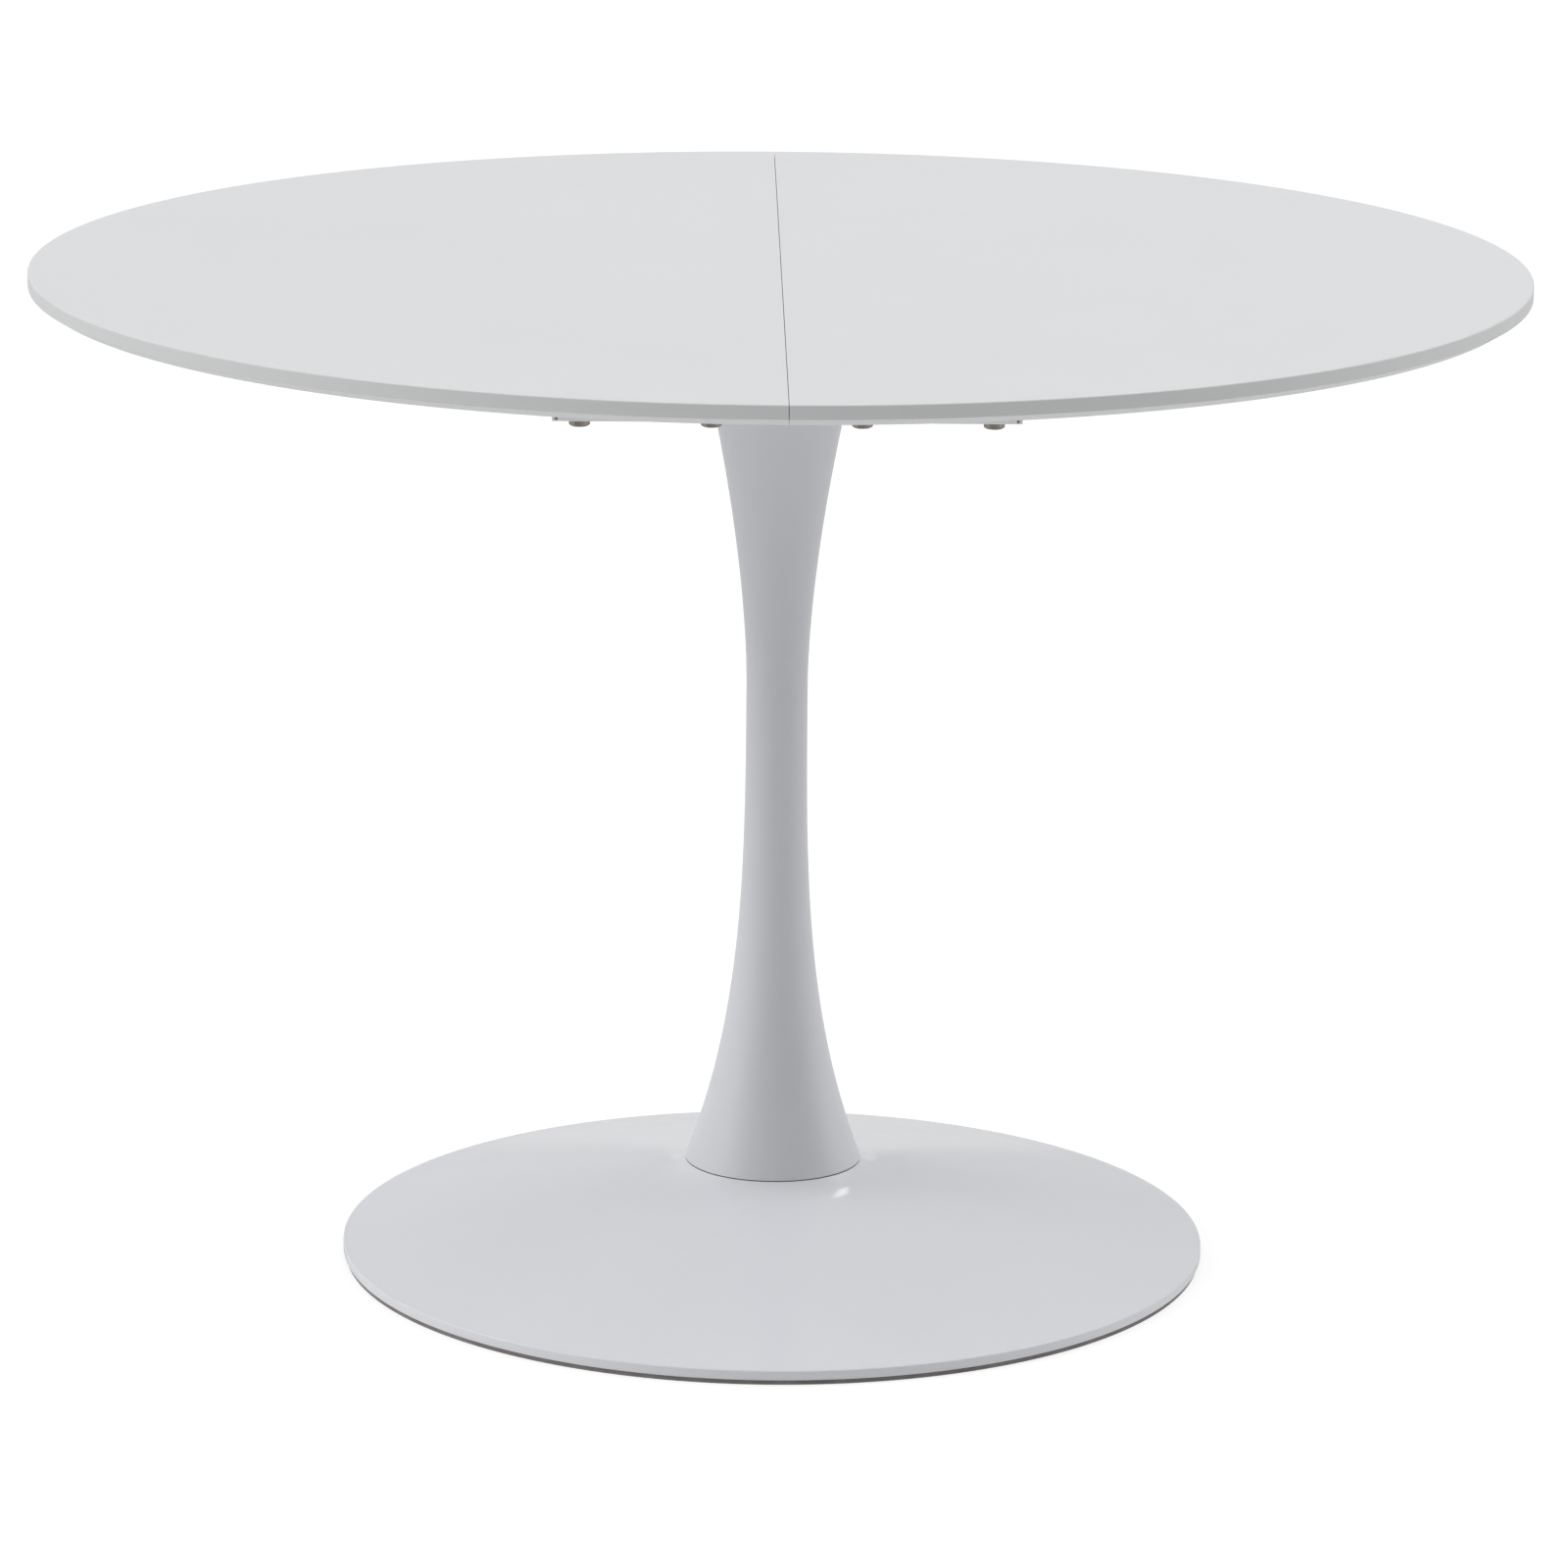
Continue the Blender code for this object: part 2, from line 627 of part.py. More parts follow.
def cover_height(radius):
    """Height of the cover's upper face: a cone, and a flare that dies away from the column's foot."""
    cone = COVER_RIM_TOP + COVER_SLOPE * (BASE_RADIUS - radius)
    foot_cone = COVER_RIM_TOP + COVER_SLOPE * (BASE_RADIUS - FOOT_RADIUS)
    flare = COVER_TOP - foot_cone
    return cone + flare * math.exp((FOOT_RADIUS - radius) / COVER_FLARE_REACH)


def build_cover(pedestal):
    """A shell whose rim turns down round a small radius to the pad."""
    face_end = BASE_RADIUS - COVER_RIM_ROUND
    face = []
    for step in range(COVER_RINGS + 1):
        radius = FOOT_RADIUS + (face_end - FOOT_RADIUS) * (step / COVER_RINGS) ** COVER_SPACING_POWER
        face.append((radius, cover_height(radius)))
    round_centre = (face_end, face[-1][1] - COVER_RIM_ROUND)
    rim = arc(round_centre, COVER_RIM_ROUND, math.pi / 2, 0.0, 3)[1:]
    inner = offset_inward(face, COVER_WALL)[::2]
    profile = face + rim
    profile += [(BASE_RADIUS, COVER_BOTTOM), (BASE_RADIUS - COVER_WALL, COVER_BOTTOM)]
    profile += [(BASE_RADIUS - COVER_WALL, inner[-1][1] - COVER_WALL)]
    profile += inner[::-1]
    turned("base_cover", profile, "cover_gloss", pedestal, COVER_SEGMENTS)


def build_ballast(pedestal):
    """The pad on the floor, and the two plates that weigh the base down."""
    ring("base_pad", PAD_INNER, PAD_OUTER, 0.0, PAD_THICKNESS, "pad_rubber", pedestal, COVER_SEGMENTS)
    plate_top = COVER_BOTTOM + BASE_PLATE_THICKNESS
    hole = BASE_PLATE_HOLE
    rim = BASE_PLATE_RADIUS
    ring("base_plate", hole, rim, COVER_BOTTOM, plate_top, "raw_steel", pedestal, PLATE_SEGMENTS)
    seat = BALLAST_BOTTOM + COUNTERBORE_DEPTH
    profile = [
        (BALLAST_RADIUS, BALLAST_TOP),
        (BALLAST_RADIUS, BALLAST_BOTTOM),
        (COUNTERBORE_RADIUS, BALLAST_BOTTOM),
        (COUNTERBORE_RADIUS, seat),
        (BORE_RADIUS, seat),
        (BORE_RADIUS, BALLAST_TOP),
    ]
    turned("ballast_plate", profile, "raw_steel", pedestal, PLATE_SEGMENTS)


def build_spigots(pedestal):
    """The pieces that centre the column on the plate above it and on the base."""
    top = FRAME_BOTTOM - 2 * GAP
    bottom = top - SPIGOT_HEIGHT
    ring("top_spigot", BORE_RADIUS, SPIGOT_RADIUS, bottom, top, "raw_steel", pedestal, SPIGOT_SEGMENTS)
    shoulder_top = COLUMN_BOTTOM - GAP
    shoulder_bottom = shoulder_top - SOCKET_SHOULDER_HEIGHT
    spigot_top = shoulder_top + SOCKET_SPIGOT_HEIGHT
    bottom = BALLAST_TOP + GAP
    profile = [
        (SOCKET_SPIGOT, spigot_top),
        (SOCKET_SPIGOT, shoulder_top),
        (SOCKET_SHOULDER, shoulder_top),
        (SOCKET_SHOULDER, shoulder_bottom),
        (SOCKET_NECK, shoulder_bottom),
        (SOCKET_NECK, bottom),
        (BORE_RADIUS, bottom),
        (BORE_RADIUS, spigot_top),
    ]
    turned("foot_socket", profile, "raw_steel", pedestal, SPIGOT_SEGMENTS)


def build_tie_rod(pedestal):
    """The rod through the column, with a washer and a nut at each end."""
    middle = (ROD_TOP + ROD_BOTTOM) / 2
    rod = cylinders_mesh("tie_rod", ROD_RADIUS, ROD_TOP - ROD_BOTTOM, [(0.0, 0.0, 0.0)])
    new_object("tie_rod", rod, "zinc", pedestal, (0.0, 0.0, middle))
    washer_bottom = FRAME_BOTTOM + PLATE_THICKNESS + GAP
    washer_top = washer_bottom + WASHER_THICKNESS
    ring("top_washer", BORE_RADIUS, WASHER_RADIUS, washer_bottom, washer_top, "zinc", pedestal)
    build_nut("top_nut", washer_top + GAP, NUT_HEIGHT, pedestal)
    seat = BALLAST_BOTTOM + COUNTERBORE_DEPTH - GAP
    low_washer = seat - WASHER_THICKNESS
    ring("bottom_washer", BORE_RADIUS, WASHER_RADIUS, low_washer, seat, "zinc", pedestal)
    build_nut("bottom_nut", low_washer - GAP - THIN_NUT_HEIGHT, THIN_NUT_HEIGHT, pedestal)


def build_nut(name, bottom, height, pedestal):
    nut = new_object(name, hexagon_mesh(name, NUT_FLATS, 0.0, height), "zinc", pedestal, (0.0, 0.0, bottom))
    centre = (0.0, 0.0, bottom + height / 2)
    bore = cylinders_mesh(name + "_bore", BORE_RADIUS, height * 2, [centre])
    boolean(nut, new_cutter(name + "_bore", bore))


def hook_outline():
    """The hook with its keeper straight ahead along X, and a thumb lever behind its pivot."""
    thumb = math.asin(THUMB_RADIUS / HOOK_BOSS)
    pivot = (0.0, 0.0)
    loop = arc(pivot, HOOK_OUTER, HOOK_TIP_ANGLE, HOOK_ARM_ANGLE, 10)
    loop += arc(pivot, HOOK_BOSS, HOOK_ARM_ANGLE + math.pi / 2, math.pi - thumb, 3)
    loop += arc((-THUMB_LENGTH, 0.0), THUMB_RADIUS, math.pi / 2, 3 * math.pi / 2, 8)
    loop += arc(pivot, HOOK_BOSS, math.pi + thumb, 2 * math.pi + HOOK_HEEL_ANGLE, 8)
    loop += arc(pivot, HOOK_INNER, HOOK_THROAT_ANGLE, HOOK_TIP_ANGLE, 8)
    hole = arc(pivot, LATCH_SHAFT + HOLE_PLAY, 0.0, 2 * math.pi, ROUND_SEGMENTS)[:-1]
    return [loop, hole]


def build_latch(slide, name, left_half, right_half):
    """A hook on the left half, swung clear of its keeper on the right half."""
    x = LATCH_PIVOT_X
    y = slide * LATCH_Y
    hook_top = UNDERSIDE - HOOK_DROP
    hook_bottom = hook_top - HOOK_THICKNESS
    head_top = hook_bottom - GAP
    head_bottom = head_top - LATCH_HEAD_HEIGHT
    for part, parent, place in (("pivot", left_half, x), ("keeper", right_half, KEEPER_X)):
        profile = [
            (0.0, UNDERSIDE - GAP),
            (LATCH_SHOULDER, UNDERSIDE - GAP),
            (LATCH_SHOULDER, hook_top + GAP),
            (LATCH_SHAFT, hook_top + GAP),
            (LATCH_SHAFT, head_top),
            (LATCH_HEAD, head_top),
            (LATCH_HEAD, head_bottom),
            (0.0, head_bottom),
        ]
        full_name = f"{name}_latch_{part}"
        turned(full_name, profile, "zinc", parent, closed=False, location=(place, y, 0.0))
    axis = new_empty(name + "_latch_axis", (x, y, hook_top - HOOK_THICKNESS / 2))
    axis.parent = left_half
    loops = [[(px, -slide * py) for px, py in loop] for loop in hook_outline()]
    mesh = outline_mesh(name + "_latch_hook", loops, HOOK_THICKNESS)
    hook = new_object(name + "_latch_hook", mesh, "zinc", axis)
    hook.rotation_euler.z = -slide * LATCH_SWING


def build():
    pedestal = new_empty("pedestal")
    left_half = new_empty("left_half")
    right_half = new_empty("right_half")
    build_tops(left_half, right_half)
    build_rails(pedestal)
    build_runners(((-1, "left", left_half), (1, "right", right_half)))
    build_crossbars(pedestal)
    build_bolts(pedestal)
    build_mounting_plate(pedestal)
    build_column(pedestal)
    build_cover(pedestal)
    build_ballast(pedestal)
    build_spigots(pedestal)
    build_tie_rod(pedestal)
    build_latch(-1, "front", left_half, right_half)
    build_latch(1, "back", left_half, right_half)


clear_scene()
PARTS = new_collection("extending_pedestal_table")
CUTTERS = new_collection("cutters")
MATERIALS = {name: new_material(name, *finish) for name, finish in FINISHES.items()}
build()
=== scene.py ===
"""Looks of an extending round pedestal table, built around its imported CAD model.

Metres, +Z up, in the CAD model's frame: the seam of the top runs along Y, and the front is -Y.
"""

import json
import math

import bmesh
import bpy
from mathutils import Matrix, Vector


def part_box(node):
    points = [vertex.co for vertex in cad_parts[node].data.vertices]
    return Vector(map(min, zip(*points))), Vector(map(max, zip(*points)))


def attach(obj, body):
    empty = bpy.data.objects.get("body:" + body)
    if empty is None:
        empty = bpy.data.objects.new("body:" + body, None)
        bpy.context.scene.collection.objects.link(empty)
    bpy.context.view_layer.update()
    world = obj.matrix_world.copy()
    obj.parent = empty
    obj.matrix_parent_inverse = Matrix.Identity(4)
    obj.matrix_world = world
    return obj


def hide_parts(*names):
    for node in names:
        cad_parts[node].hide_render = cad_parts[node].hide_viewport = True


# Top
TOP_HEIGHT = 0.755
TOP_THICKNESS = 0.015
TOP_RADIUS = 0.550
RIM_WIDTH = 0.020  # how far in from the edge the turned rim of the top reaches
BAND_HEIGHT = 0.010
BEVEL_WIDTH = 0.008
TOP_EDGE_ROUND = 0.0014
BAND_ROUND = 0.0007  # where the upright band turns into the bevel
BEVEL_ROUND = 0.0010
SEAM_HALF = 0.0002
SEAM_EASE = 0.0002
TOP_SEGMENTS = 288
PIN_RADIUS = 0.004
PIN_HOLE_RADIUS = 0.0043
PIN_HOLE_DEPTH = 0.017
PIN_HOLE_SINK = 0.0006  # how much wider a pin's hole is at the seam
PIN_HOLE_SINK_START = 0.0011  # from the seam
PIN_HOLE_SINK_END = 0.0004
PIN_CHAMFER = 0.0008
PIN_END = 0.80  # share of its radius that a pin has at its ends
PIN_FLUTES = 18
POINTS_PER_FLUTE = 6
FLUTE_DEPTH = 0.00022

# Column
COLUMN_TOP = 0.6797
COLUMN_BOTTOM = 0.0726
COLUMN_WALL = 0.003
WAIST_Z = 0.443
WAIST_RADIUS = 0.0229
HEAD_RADIUS = 0.0555
HEAD_POWER = 1.65
FOOT_RADIUS = 0.0665
FOOT_POWER = 3.3
COLUMN_RINGS = 96
COLUMN_SEGMENTS = 128
COLUMN_INNER_STEP = 4  # the inner face has one ring for this many of the outer face's
JOINT_EASE = 0.0004  # eased edges where the column meets the base
COLUMN_FOOT_EASE = 0.00012  # the same across the joint, on the column's side of it
COVER_LIP_EASE = 0.00024  # and on the base's side

# Base
BASE_RADIUS = 0.325
COVER_TOP = 0.0720
COVER_BOTTOM = 0.0038
COVER_WALL = 0.0016
COVER_RIM_TOP = 0.0105
COVER_SLOPE = math.tan(math.radians(11.5))
COVER_FLARE_REACH = 0.011
COVER_RIM_ROUND = 0.003
COVER_HEM_ROUND = 0.0006
COVER_RINGS = 72
COVER_INNER_STEP = 3
COVER_SPACING_POWER = 1.8
COVER_SEGMENTS = 256
PAD_INNER = 0.262
PAD_ROUND = 0.0006

# Frame under the top
CROSSBAR_WALL = 0.0025
CROSSBAR_CORNER = 0.0030
VENT_RADIUS = 0.0012
VENT_INSET = 0.003
VENT_RISE = 0.0022
VENT_SEGMENTS = 24
WOOD_EASE = 0.0009
PLATE_EASE = 0.0005
WELD_LENGTH = 0.190
WELD_RADIUS = 0.0026
WELD_RIPPLE = 0.0024  # from one ripple of a bead to the next
WELD_RIPPLE_DEPTH = 0.14  # share of the radius
WELD_RIPPLE_STEPS = 4
WELD_END = 0.35  # share of the radius at a bead's ends
WELD_GROWTH = 0.22  # share gained with each step from them
WELD_ARC_STEPS = 8
WELD_ROOT = 0.0001  # how deep a bead's back sits in its corner

# Fasteners. The points of an edge are (in from the rim, down from the face above).
BOLT_SHANK = 0.004
BOLT_REACH = 0.039
BOLT_FLANGE = 0.0085
BOLT_FLANGE_HEIGHT = 0.0015
BOLT_FLANGE_EDGE = ((0.0002, 0.0), (0.0, 0.0002), (0.0, 0.0008), (0.0003, 0.0011))
BOLT_SKIRT = 1.17  # radius at the flange's foot, in half widths of the head
BOLT_HEAD_FLATS = 0.013
BOLT_DISH = 0.62  # radius of the hollow in the head's end, in half widths of the head
BOLT_DISH_FLOOR = 0.86  # share of the hollow's radius at its floor
BOLT_DISH_DEPTH = 0.0005
HEX_SEGMENTS = 96
HEX_CHAMFER = 0.90  # share of the flats' half width that stays flat at a hexagon's end
HEX_CHAMFER_SLOPE = math.tan(math.radians(32))
NUT_FLATS = 0.022
BORE_RADIUS = 0.0073
BORE_CHAMFER = 0.0008
WASHER_SEGMENTS = 64
ROD_RADIUS = 0.007
ROD_TOP_CHAMFER = 0.0012
CHAMFER = 0.0006  # at the ends of the bolts and the rod's lower end
THREAD_PITCH = 0.0015
THREAD_DEPTH = 0.0007
THREAD_LENGTH = 0.030
THREAD_CREST = 0.2  # shares of the pitch at which a crest ends and its root lies
THREAD_ROOT = 0.6
SCREW_SHANK = 0.0022
SCREW_HEAD = 0.0045
SCREW_HEAD_HEIGHT = 0.0025
SCREW_HEAD_EDGE = ((0.0, 0.0012), (0.0004, 0.0019), (0.0013, 0.0024))
SCREW_HEAD_FLAT = 0.0023
SCREW_TAPER = 0.0035
LATCH_SHOULDER = 0.006
LATCH_SHOULDER_HEIGHT = 0.0034
LATCH_SHAFT = 0.004
LATCH_HEAD = 0.007
LATCH_HEAD_HEIGHT = 0.0022
LATCH_HEAD_EDGE = ((0.0, 0.0011), (0.0005, 0.0017), (0.0018, 0.0022))
STUD_RADIUS = 0.003
RECESS_ARM = 0.0008
RECESS_REACH = 0.0024
RECESS_DEPTH = 0.0013
RECESS_FLOOR = 0.62  # share of its length that a cross recess keeps at its floor
RECESS_MOUTH = 0.001  # how far its cutter runs past the head
ROUND_SEGMENTS = 48
METAL_EASE = 0.0003

# Meshing
CORNERS_SIDEWAYS = Matrix.Rotation(math.radians(30), 4, "Z")  # puts a hexagon's corners on X
SHARP_ANGLE = math.radians(32)  # an edge sharper than this isn't shaded smooth
EASED_ANGLE = math.radians(40)  # an edge of the CAD sharper than this gets rounded
FLAT_ANGLE = math.radians(0.6)  # faces closer than this to one plane become one face
MERGE_DISTANCE = 0.000005
FILLET_SHARE = 0.48  # the most of an edge that one rounded corner takes
PIN_HOLE_SEGMENTS = 40
TINY = 1e-7

# Camera
CAMERA_PLACE = (-0.0573, -5.0187, 1.6045)
CAMERA_PITCH = 13.899
CAMERA_PAN = -0.7208
CAMERA_ROLL = 0.5423
CAMERA_LENS = 158.8
SENSOR_WIDTH = 36.0
CAMERA_REACH = 200.0  # how far it sees

# Light: brightness of the studio towards each side, near the horizon and half way up, and overhead
SIDE_LIGHT = {
    "front": (0.00, 0.25),
    "right": (1.30, 2.50),
    "back": (0.53, 0.50),
    "left": (1.35, 3.60),
}
SKY_LIGHT = 0.84
SIDE_TURN = 10.0  # degrees that the sides are turned about the table's axis
SIDE_SHARPNESS = 4.0
LOW_BAND = (0.36, 0.48)  # sines of the elevations between which one band gives way to the next
HIGH_BAND = (0.68, 0.82)
BACKDROP = 1.0
FLOOR_COLOUR = 0.40
FLOOR_GLOW = 0.32  # the floor's own light on the table
FLOOR_SHOWN = 0.72  # its own light as the camera sees it
FLOOR_SIZE = 60.0
LAMP_PLACE = (1.26, 2.30, 3.05)  # behind the table, for the highlight on the base's flare
LAMP_AIM = (0.04, -0.05, 0.06)
LAMP_SIZE = (0.60, 0.60)
LAMP_POWER = 4.5

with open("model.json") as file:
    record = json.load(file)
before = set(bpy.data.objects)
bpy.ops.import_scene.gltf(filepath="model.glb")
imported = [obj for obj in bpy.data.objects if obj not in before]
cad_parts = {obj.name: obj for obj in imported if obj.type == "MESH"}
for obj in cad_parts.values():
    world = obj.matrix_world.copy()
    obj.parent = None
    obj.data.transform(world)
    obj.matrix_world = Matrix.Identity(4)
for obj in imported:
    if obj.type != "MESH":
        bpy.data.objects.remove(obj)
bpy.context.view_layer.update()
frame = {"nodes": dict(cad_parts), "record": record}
RECORD = frame["record"]
BODY_OF = {node: body for body, nodes in RECORD["behaviour"]["bodies"].items() for node in nodes}
SLOT_OF = {row["node"]: row["material_slot"] for row in RECORD["subparts"]}


# ---------------------------------------------------------------- materials


class Tree:
    """A node tree, with short calls for the nodes used here."""

    def __init__(self, tree):
        self.tree = tree

    def node(self, kind, **settings):
        made = self.tree.nodes.new(kind)
        for key, value in settings.items():
            setattr(made, key, value)
        return made

    def join(self, source, target):
        self.tree.links.new(source, target)

    def math(self, operation, *values):
        """One operation on numbers and other nodes' values."""
        node = self.node("ShaderNodeMath", operation=operation)
        for socket, value in zip(node.inputs, values):
            if isinstance(value, (int, float)):
                socket.default_value = value
            else:
                self.join(value, socket)
        return node.outputs["Value"]

    def remap(self, value, low, high, to_low=0.0, to_high=1.0, **settings):
        remap = self.node("ShaderNodeMapRange", **settings)
        ends = {"From Min": low, "From Max": high, "To Min": to_low, "To Max": to_high}
        for key, number in ends.items():
            remap.inputs[key].default_value = number
        self.join(value, remap.inputs["Value"])
        return remap.outputs["Result"]


class Shader(Tree):
    """A material's node tree."""

    def __init__(self, name):
        self.material = bpy.data.materials.new(name)
        self.material.use_nodes = True
        super().__init__(self.material.node_tree)
        self.output = self.tree.nodes["Principled BSDF"]
        self.place = self.node("ShaderNodeTexCoord").outputs["Object"]

    def set(self, **values):
        """Sets sockets of the principled shader that are the same all over."""
        for key, value in values.items():
            self.output.inputs[key.replace("_", " ")].default_value = value

    def stretched(self, scale):
        mapping = self.node("ShaderNodeMapping")
        mapping.inputs["Scale"].default_value = scale
        self.join(self.place, mapping.inputs["Vector"])
        return mapping.outputs["Vector"]

    def noise(self, scale, detail=2.0, roughness=0.5, distortion=0.0, place=None):
        noise = self.node("ShaderNodeTexNoise")
        noise.inputs["Scale"].default_value = scale
        noise.inputs["Detail"].default_value = detail
        noise.inputs["Roughness"].default_value = roughness
        noise.inputs["Distortion"].default_value = distortion
        self.join(place or self.place, noise.inputs["Vector"])
        return noise.outputs["Fac"]

    def cells(self, scale, place=None):
        cells = self.node("ShaderNodeTexVoronoi")
        cells.inputs["Scale"].default_value = scale
        self.join(place or self.place, cells.inputs["Vector"])
        return cells.outputs["Distance"]

    def mix(self, share, first, second):
        """A mix of two colours. Each is a triple or another node's colour."""
        node = self.node("ShaderNodeMix", data_type="RGBA")
        self.join(share, node.inputs["Factor"])
        for socket, value in ((node.inputs[6], first), (node.inputs[7], second)):
            if isinstance(value, tuple):
                socket.default_value = (*value, 1.0)
            else:
                self.join(value, socket)
        return node.outputs[2]

    def upright(self):
        """1 on a face that looks straight up or down, 0 on one that looks sideways."""
        parts = self.node("ShaderNodeSeparateXYZ")
        self.join(self.node("ShaderNodeTexCoord").outputs["Normal"], parts.inputs["Vector"])
        return self.math("ABSOLUTE", parts.outputs["Z"])

    def colour(self, value):
        self.join(value, self.output.inputs["Base Color"])

    def roughness(self, value):
        self.join(value, self.output.inputs["Roughness"])

    def bumps(self, *layers):
        """Layers of (height, strength, distance), from the broadest to the finest."""
        normal = None
        for height, strength, distance in layers:
            bump = self.node("ShaderNodeBump")
            bump.inputs["Strength"].default_value = strength
            bump.inputs["Distance"].default_value = distance
            self.join(height, bump.inputs["Height"])
            if normal:
                self.join(normal, bump.inputs["Normal"])
            normal = bump.outputs["Normal"]
        self.join(normal, self.output.inputs["Normal"])


def shade(colour, factor):
    return tuple(channel * factor for channel in colour)


def satin_lacquer():
    """Sprayed white lacquer: a faint orange peel, fine grit and slightly uneven gloss.

    Where the rim's faces turn sideways, the colour is painted a little deeper in tone: painted
    shade on the band and bevel.
    """
    look = Shader("satin_white_lacquer")
    white = (0.846, 0.855, 0.873)
    # painted shade: the deeper tone given to the rim's sideways faces
    rim = (0.725, 0.734, 0.736)
    face = look.mix(look.remap(look.noise(5.0, 3.0), 0.35, 0.65), shade(white, 0.992), white)
    # painted shade where a face turns sideways, the lacquer's own tone where it looks up or down
    look.colour(look.mix(look.remap(look.upright(), 0.2, 0.9), rim, face))
    look.roughness(look.remap(look.noise(26.0, 5.0, 0.6), 0.3, 0.7, 0.36, 0.43))
    peel = look.noise(330.0, 2.0, 0.45)
    grit = look.noise(2400.0, 1.0, 0.5)
    look.bumps((peel, 0.10, 0.0004), (grit, 0.06, 0.0001))
    look.set(IOR=1.47)
    return look.material


def powder_coat():
    """Smooth white powder coat: rounder, softer peel than sprayed lacquer."""
    look = Shader("white_powder_coat")
    white = (0.760, 0.774, 0.808)
    look.colour(look.mix(look.remap(look.noise(9.0, 3.0), 0.35, 0.65), shade(white, 0.990), white))
    look.roughness(look.remap(look.noise(40.0, 4.0, 0.6), 0.3, 0.7, 0.285, 0.345))
    peel = look.noise(420.0, 2.0, 0.4)
    grit = look.noise(1900.0, 1.0, 0.5)
    look.bumps((peel, 0.12, 0.0004), (grit, 0.05, 0.0001))
    look.set(IOR=1.50)
    return look.material


def gloss_lacquer():
    """High gloss white lacquer on pressed steel, with slow waves in the sheet under it."""
    look = Shader("gloss_white_lacquer")
    white = (0.872, 0.883, 0.922)
    specks = look.remap(look.cells(95.0), 0.0, 0.035, 0.86, 1.0)
    tone = look.mix(look.remap(look.noise(7.0, 3.0), 0.35, 0.65), shade(white, 0.990), white)
    dust = look.math("MAXIMUM", specks, look.remap(look.noise(30.0, 1.0), 0.60, 0.66, 1.0, 0.0))
    look.colour(look.mix(dust, shade(white, 0.80), tone))
    look.roughness(look.remap(look.noise(18.0, 5.0, 0.65), 0.3, 0.7, 0.09, 0.15))
    waves = look.noise(11.0, 1.0)
    peel = look.noise(300.0, 1.0, 0.4)
    look.bumps((waves, 0.10, 0.002), (peel, 0.05, 0.0003))
    look.set(IOR=1.48)
    return look.material


def frame_paint():
    """Thin light powder coat on the steel under the top, a little rough."""
    look = Shader("frame_powder_coat")
    pale = (0.830, 0.838, 0.845)
    look.colour(look.mix(look.remap(look.noise(30.0, 4.0), 0.35, 0.65), shade(pale, 0.96), pale))
    look.roughness(look.remap(look.noise(60.0, 4.0, 0.6), 0.3, 0.7, 0.40, 0.52))
    look.bumps((look.noise(700.0, 2.0, 0.5), 0.22, 0.0004), (look.noise(3000.0, 1.0), 0.08, 0.0001))
    return look.material


def beech():
    """Planed beech: growth bands along the bar, short dark flecks and fine pores."""
    look = Shader("planed_beech")
    along = look.stretched((2.0, 38.0, 38.0))
    bands = look.noise(1.0, 4.0, 0.62, 1.2, along)
    late_wood, early_wood = (0.470, 0.292, 0.150), (0.640, 0.452, 0.272)
    fleck_brown, pore_brown = (0.330, 0.185, 0.090), (0.420, 0.255, 0.130)
    tone = look.mix(look.remap(bands, 0.30, 0.70), late_wood, early_wood)
    flecks = look.cells(1.0, look.stretched((130.0, 900.0, 900.0)))
    tone = look.mix(look.remap(flecks, 0.10, 0.26), fleck_brown, tone)
    fibres = look.noise(1.0, 5.0, 0.7, 0.0, look.stretched((22.0, 1400.0, 1400.0)))
    pores = look.math("MAXIMUM", look.remap(fibres, 0.32, 0.62), 0.72)
    look.colour(look.mix(pores, pore_brown, tone))
    look.roughness(look.remap(fibres, 0.3, 0.7, 0.58, 0.46))
    look.bumps((bands, 0.05, 0.0008), (flecks, 0.20, 0.0002), (fibres, 0.28, 0.0002))
    return look.material


def zinc():
    """Dull zinc plate with a faint yellow passivation, cloudy and lightly scratched."""
    look = Shader("yellowed_zinc")
    dark, light = (0.245, 0.215, 0.175), (0.360, 0.335, 0.300)
    clouds = look.noise(140.0, 4.0, 0.6)
    scratches = look.noise(1.0, 3.0, 0.6, 0.4, look.stretched((2400.0, 500.0, 2400.0)))
    look.colour(look.mix(look.remap(clouds, 0.35, 0.65), dark, light))
    look.roughness(look.remap(clouds, 0.3, 0.7, 0.46, 0.30))
    look.bumps((scratches, 0.10, 0.0001))
    look.set(Metallic=1.0)
    return look.material


def raw_steel():
    """Hot rolled plate: dark mill scale with lighter, worn patches."""
    look = Shader("mill_scale_steel")
    scale, worn = (0.085, 0.088, 0.095), (0.235, 0.230, 0.225)
    patches = look.noise(22.0, 6.0, 0.65, 0.3)
    look.colour(look.mix(look.remap(patches, 0.40, 0.66), scale, worn))
    look.roughness(look.remap(patches, 0.3, 0.7, 0.62, 0.42))
    look.bumps((patches, 0.10, 0.0004), (look.noise(900.0, 2.0), 0.18, 0.0002))
    look.set(Metallic=0.75)
    return look.material


def pad_rubber():
    """Dark brown-grey foamed rubber, open celled and matt."""
    look = Shader("foamed_rubber")
    dark, light = (0.230, 0.208, 0.203), (0.285, 0.265, 0.262)
    cells = look.cells(1500.0)
    look.colour(look.mix(look.remap(look.noise(60.0, 4.0), 0.35, 0.65), dark, light))
    look.roughness(look.remap(cells, 0.0, 0.6, 0.92, 0.78))
    look.bumps((cells, 0.45, 0.0003), (look.noise(3200.0, 2.0), 0.25, 0.0001))
    return look.material


LOOKS = {
    "top_lacquer": satin_lacquer(),
    "column_coat": powder_coat(),
    "cover_gloss": gloss_lacquer(),
    "frame_coat": frame_paint(),
    "beech": beech(),
    "zinc": zinc(),
    "raw_steel": raw_steel(),
    "pad_rubber": pad_rubber(),
}


# ---------------------------------------------------------------- shapes


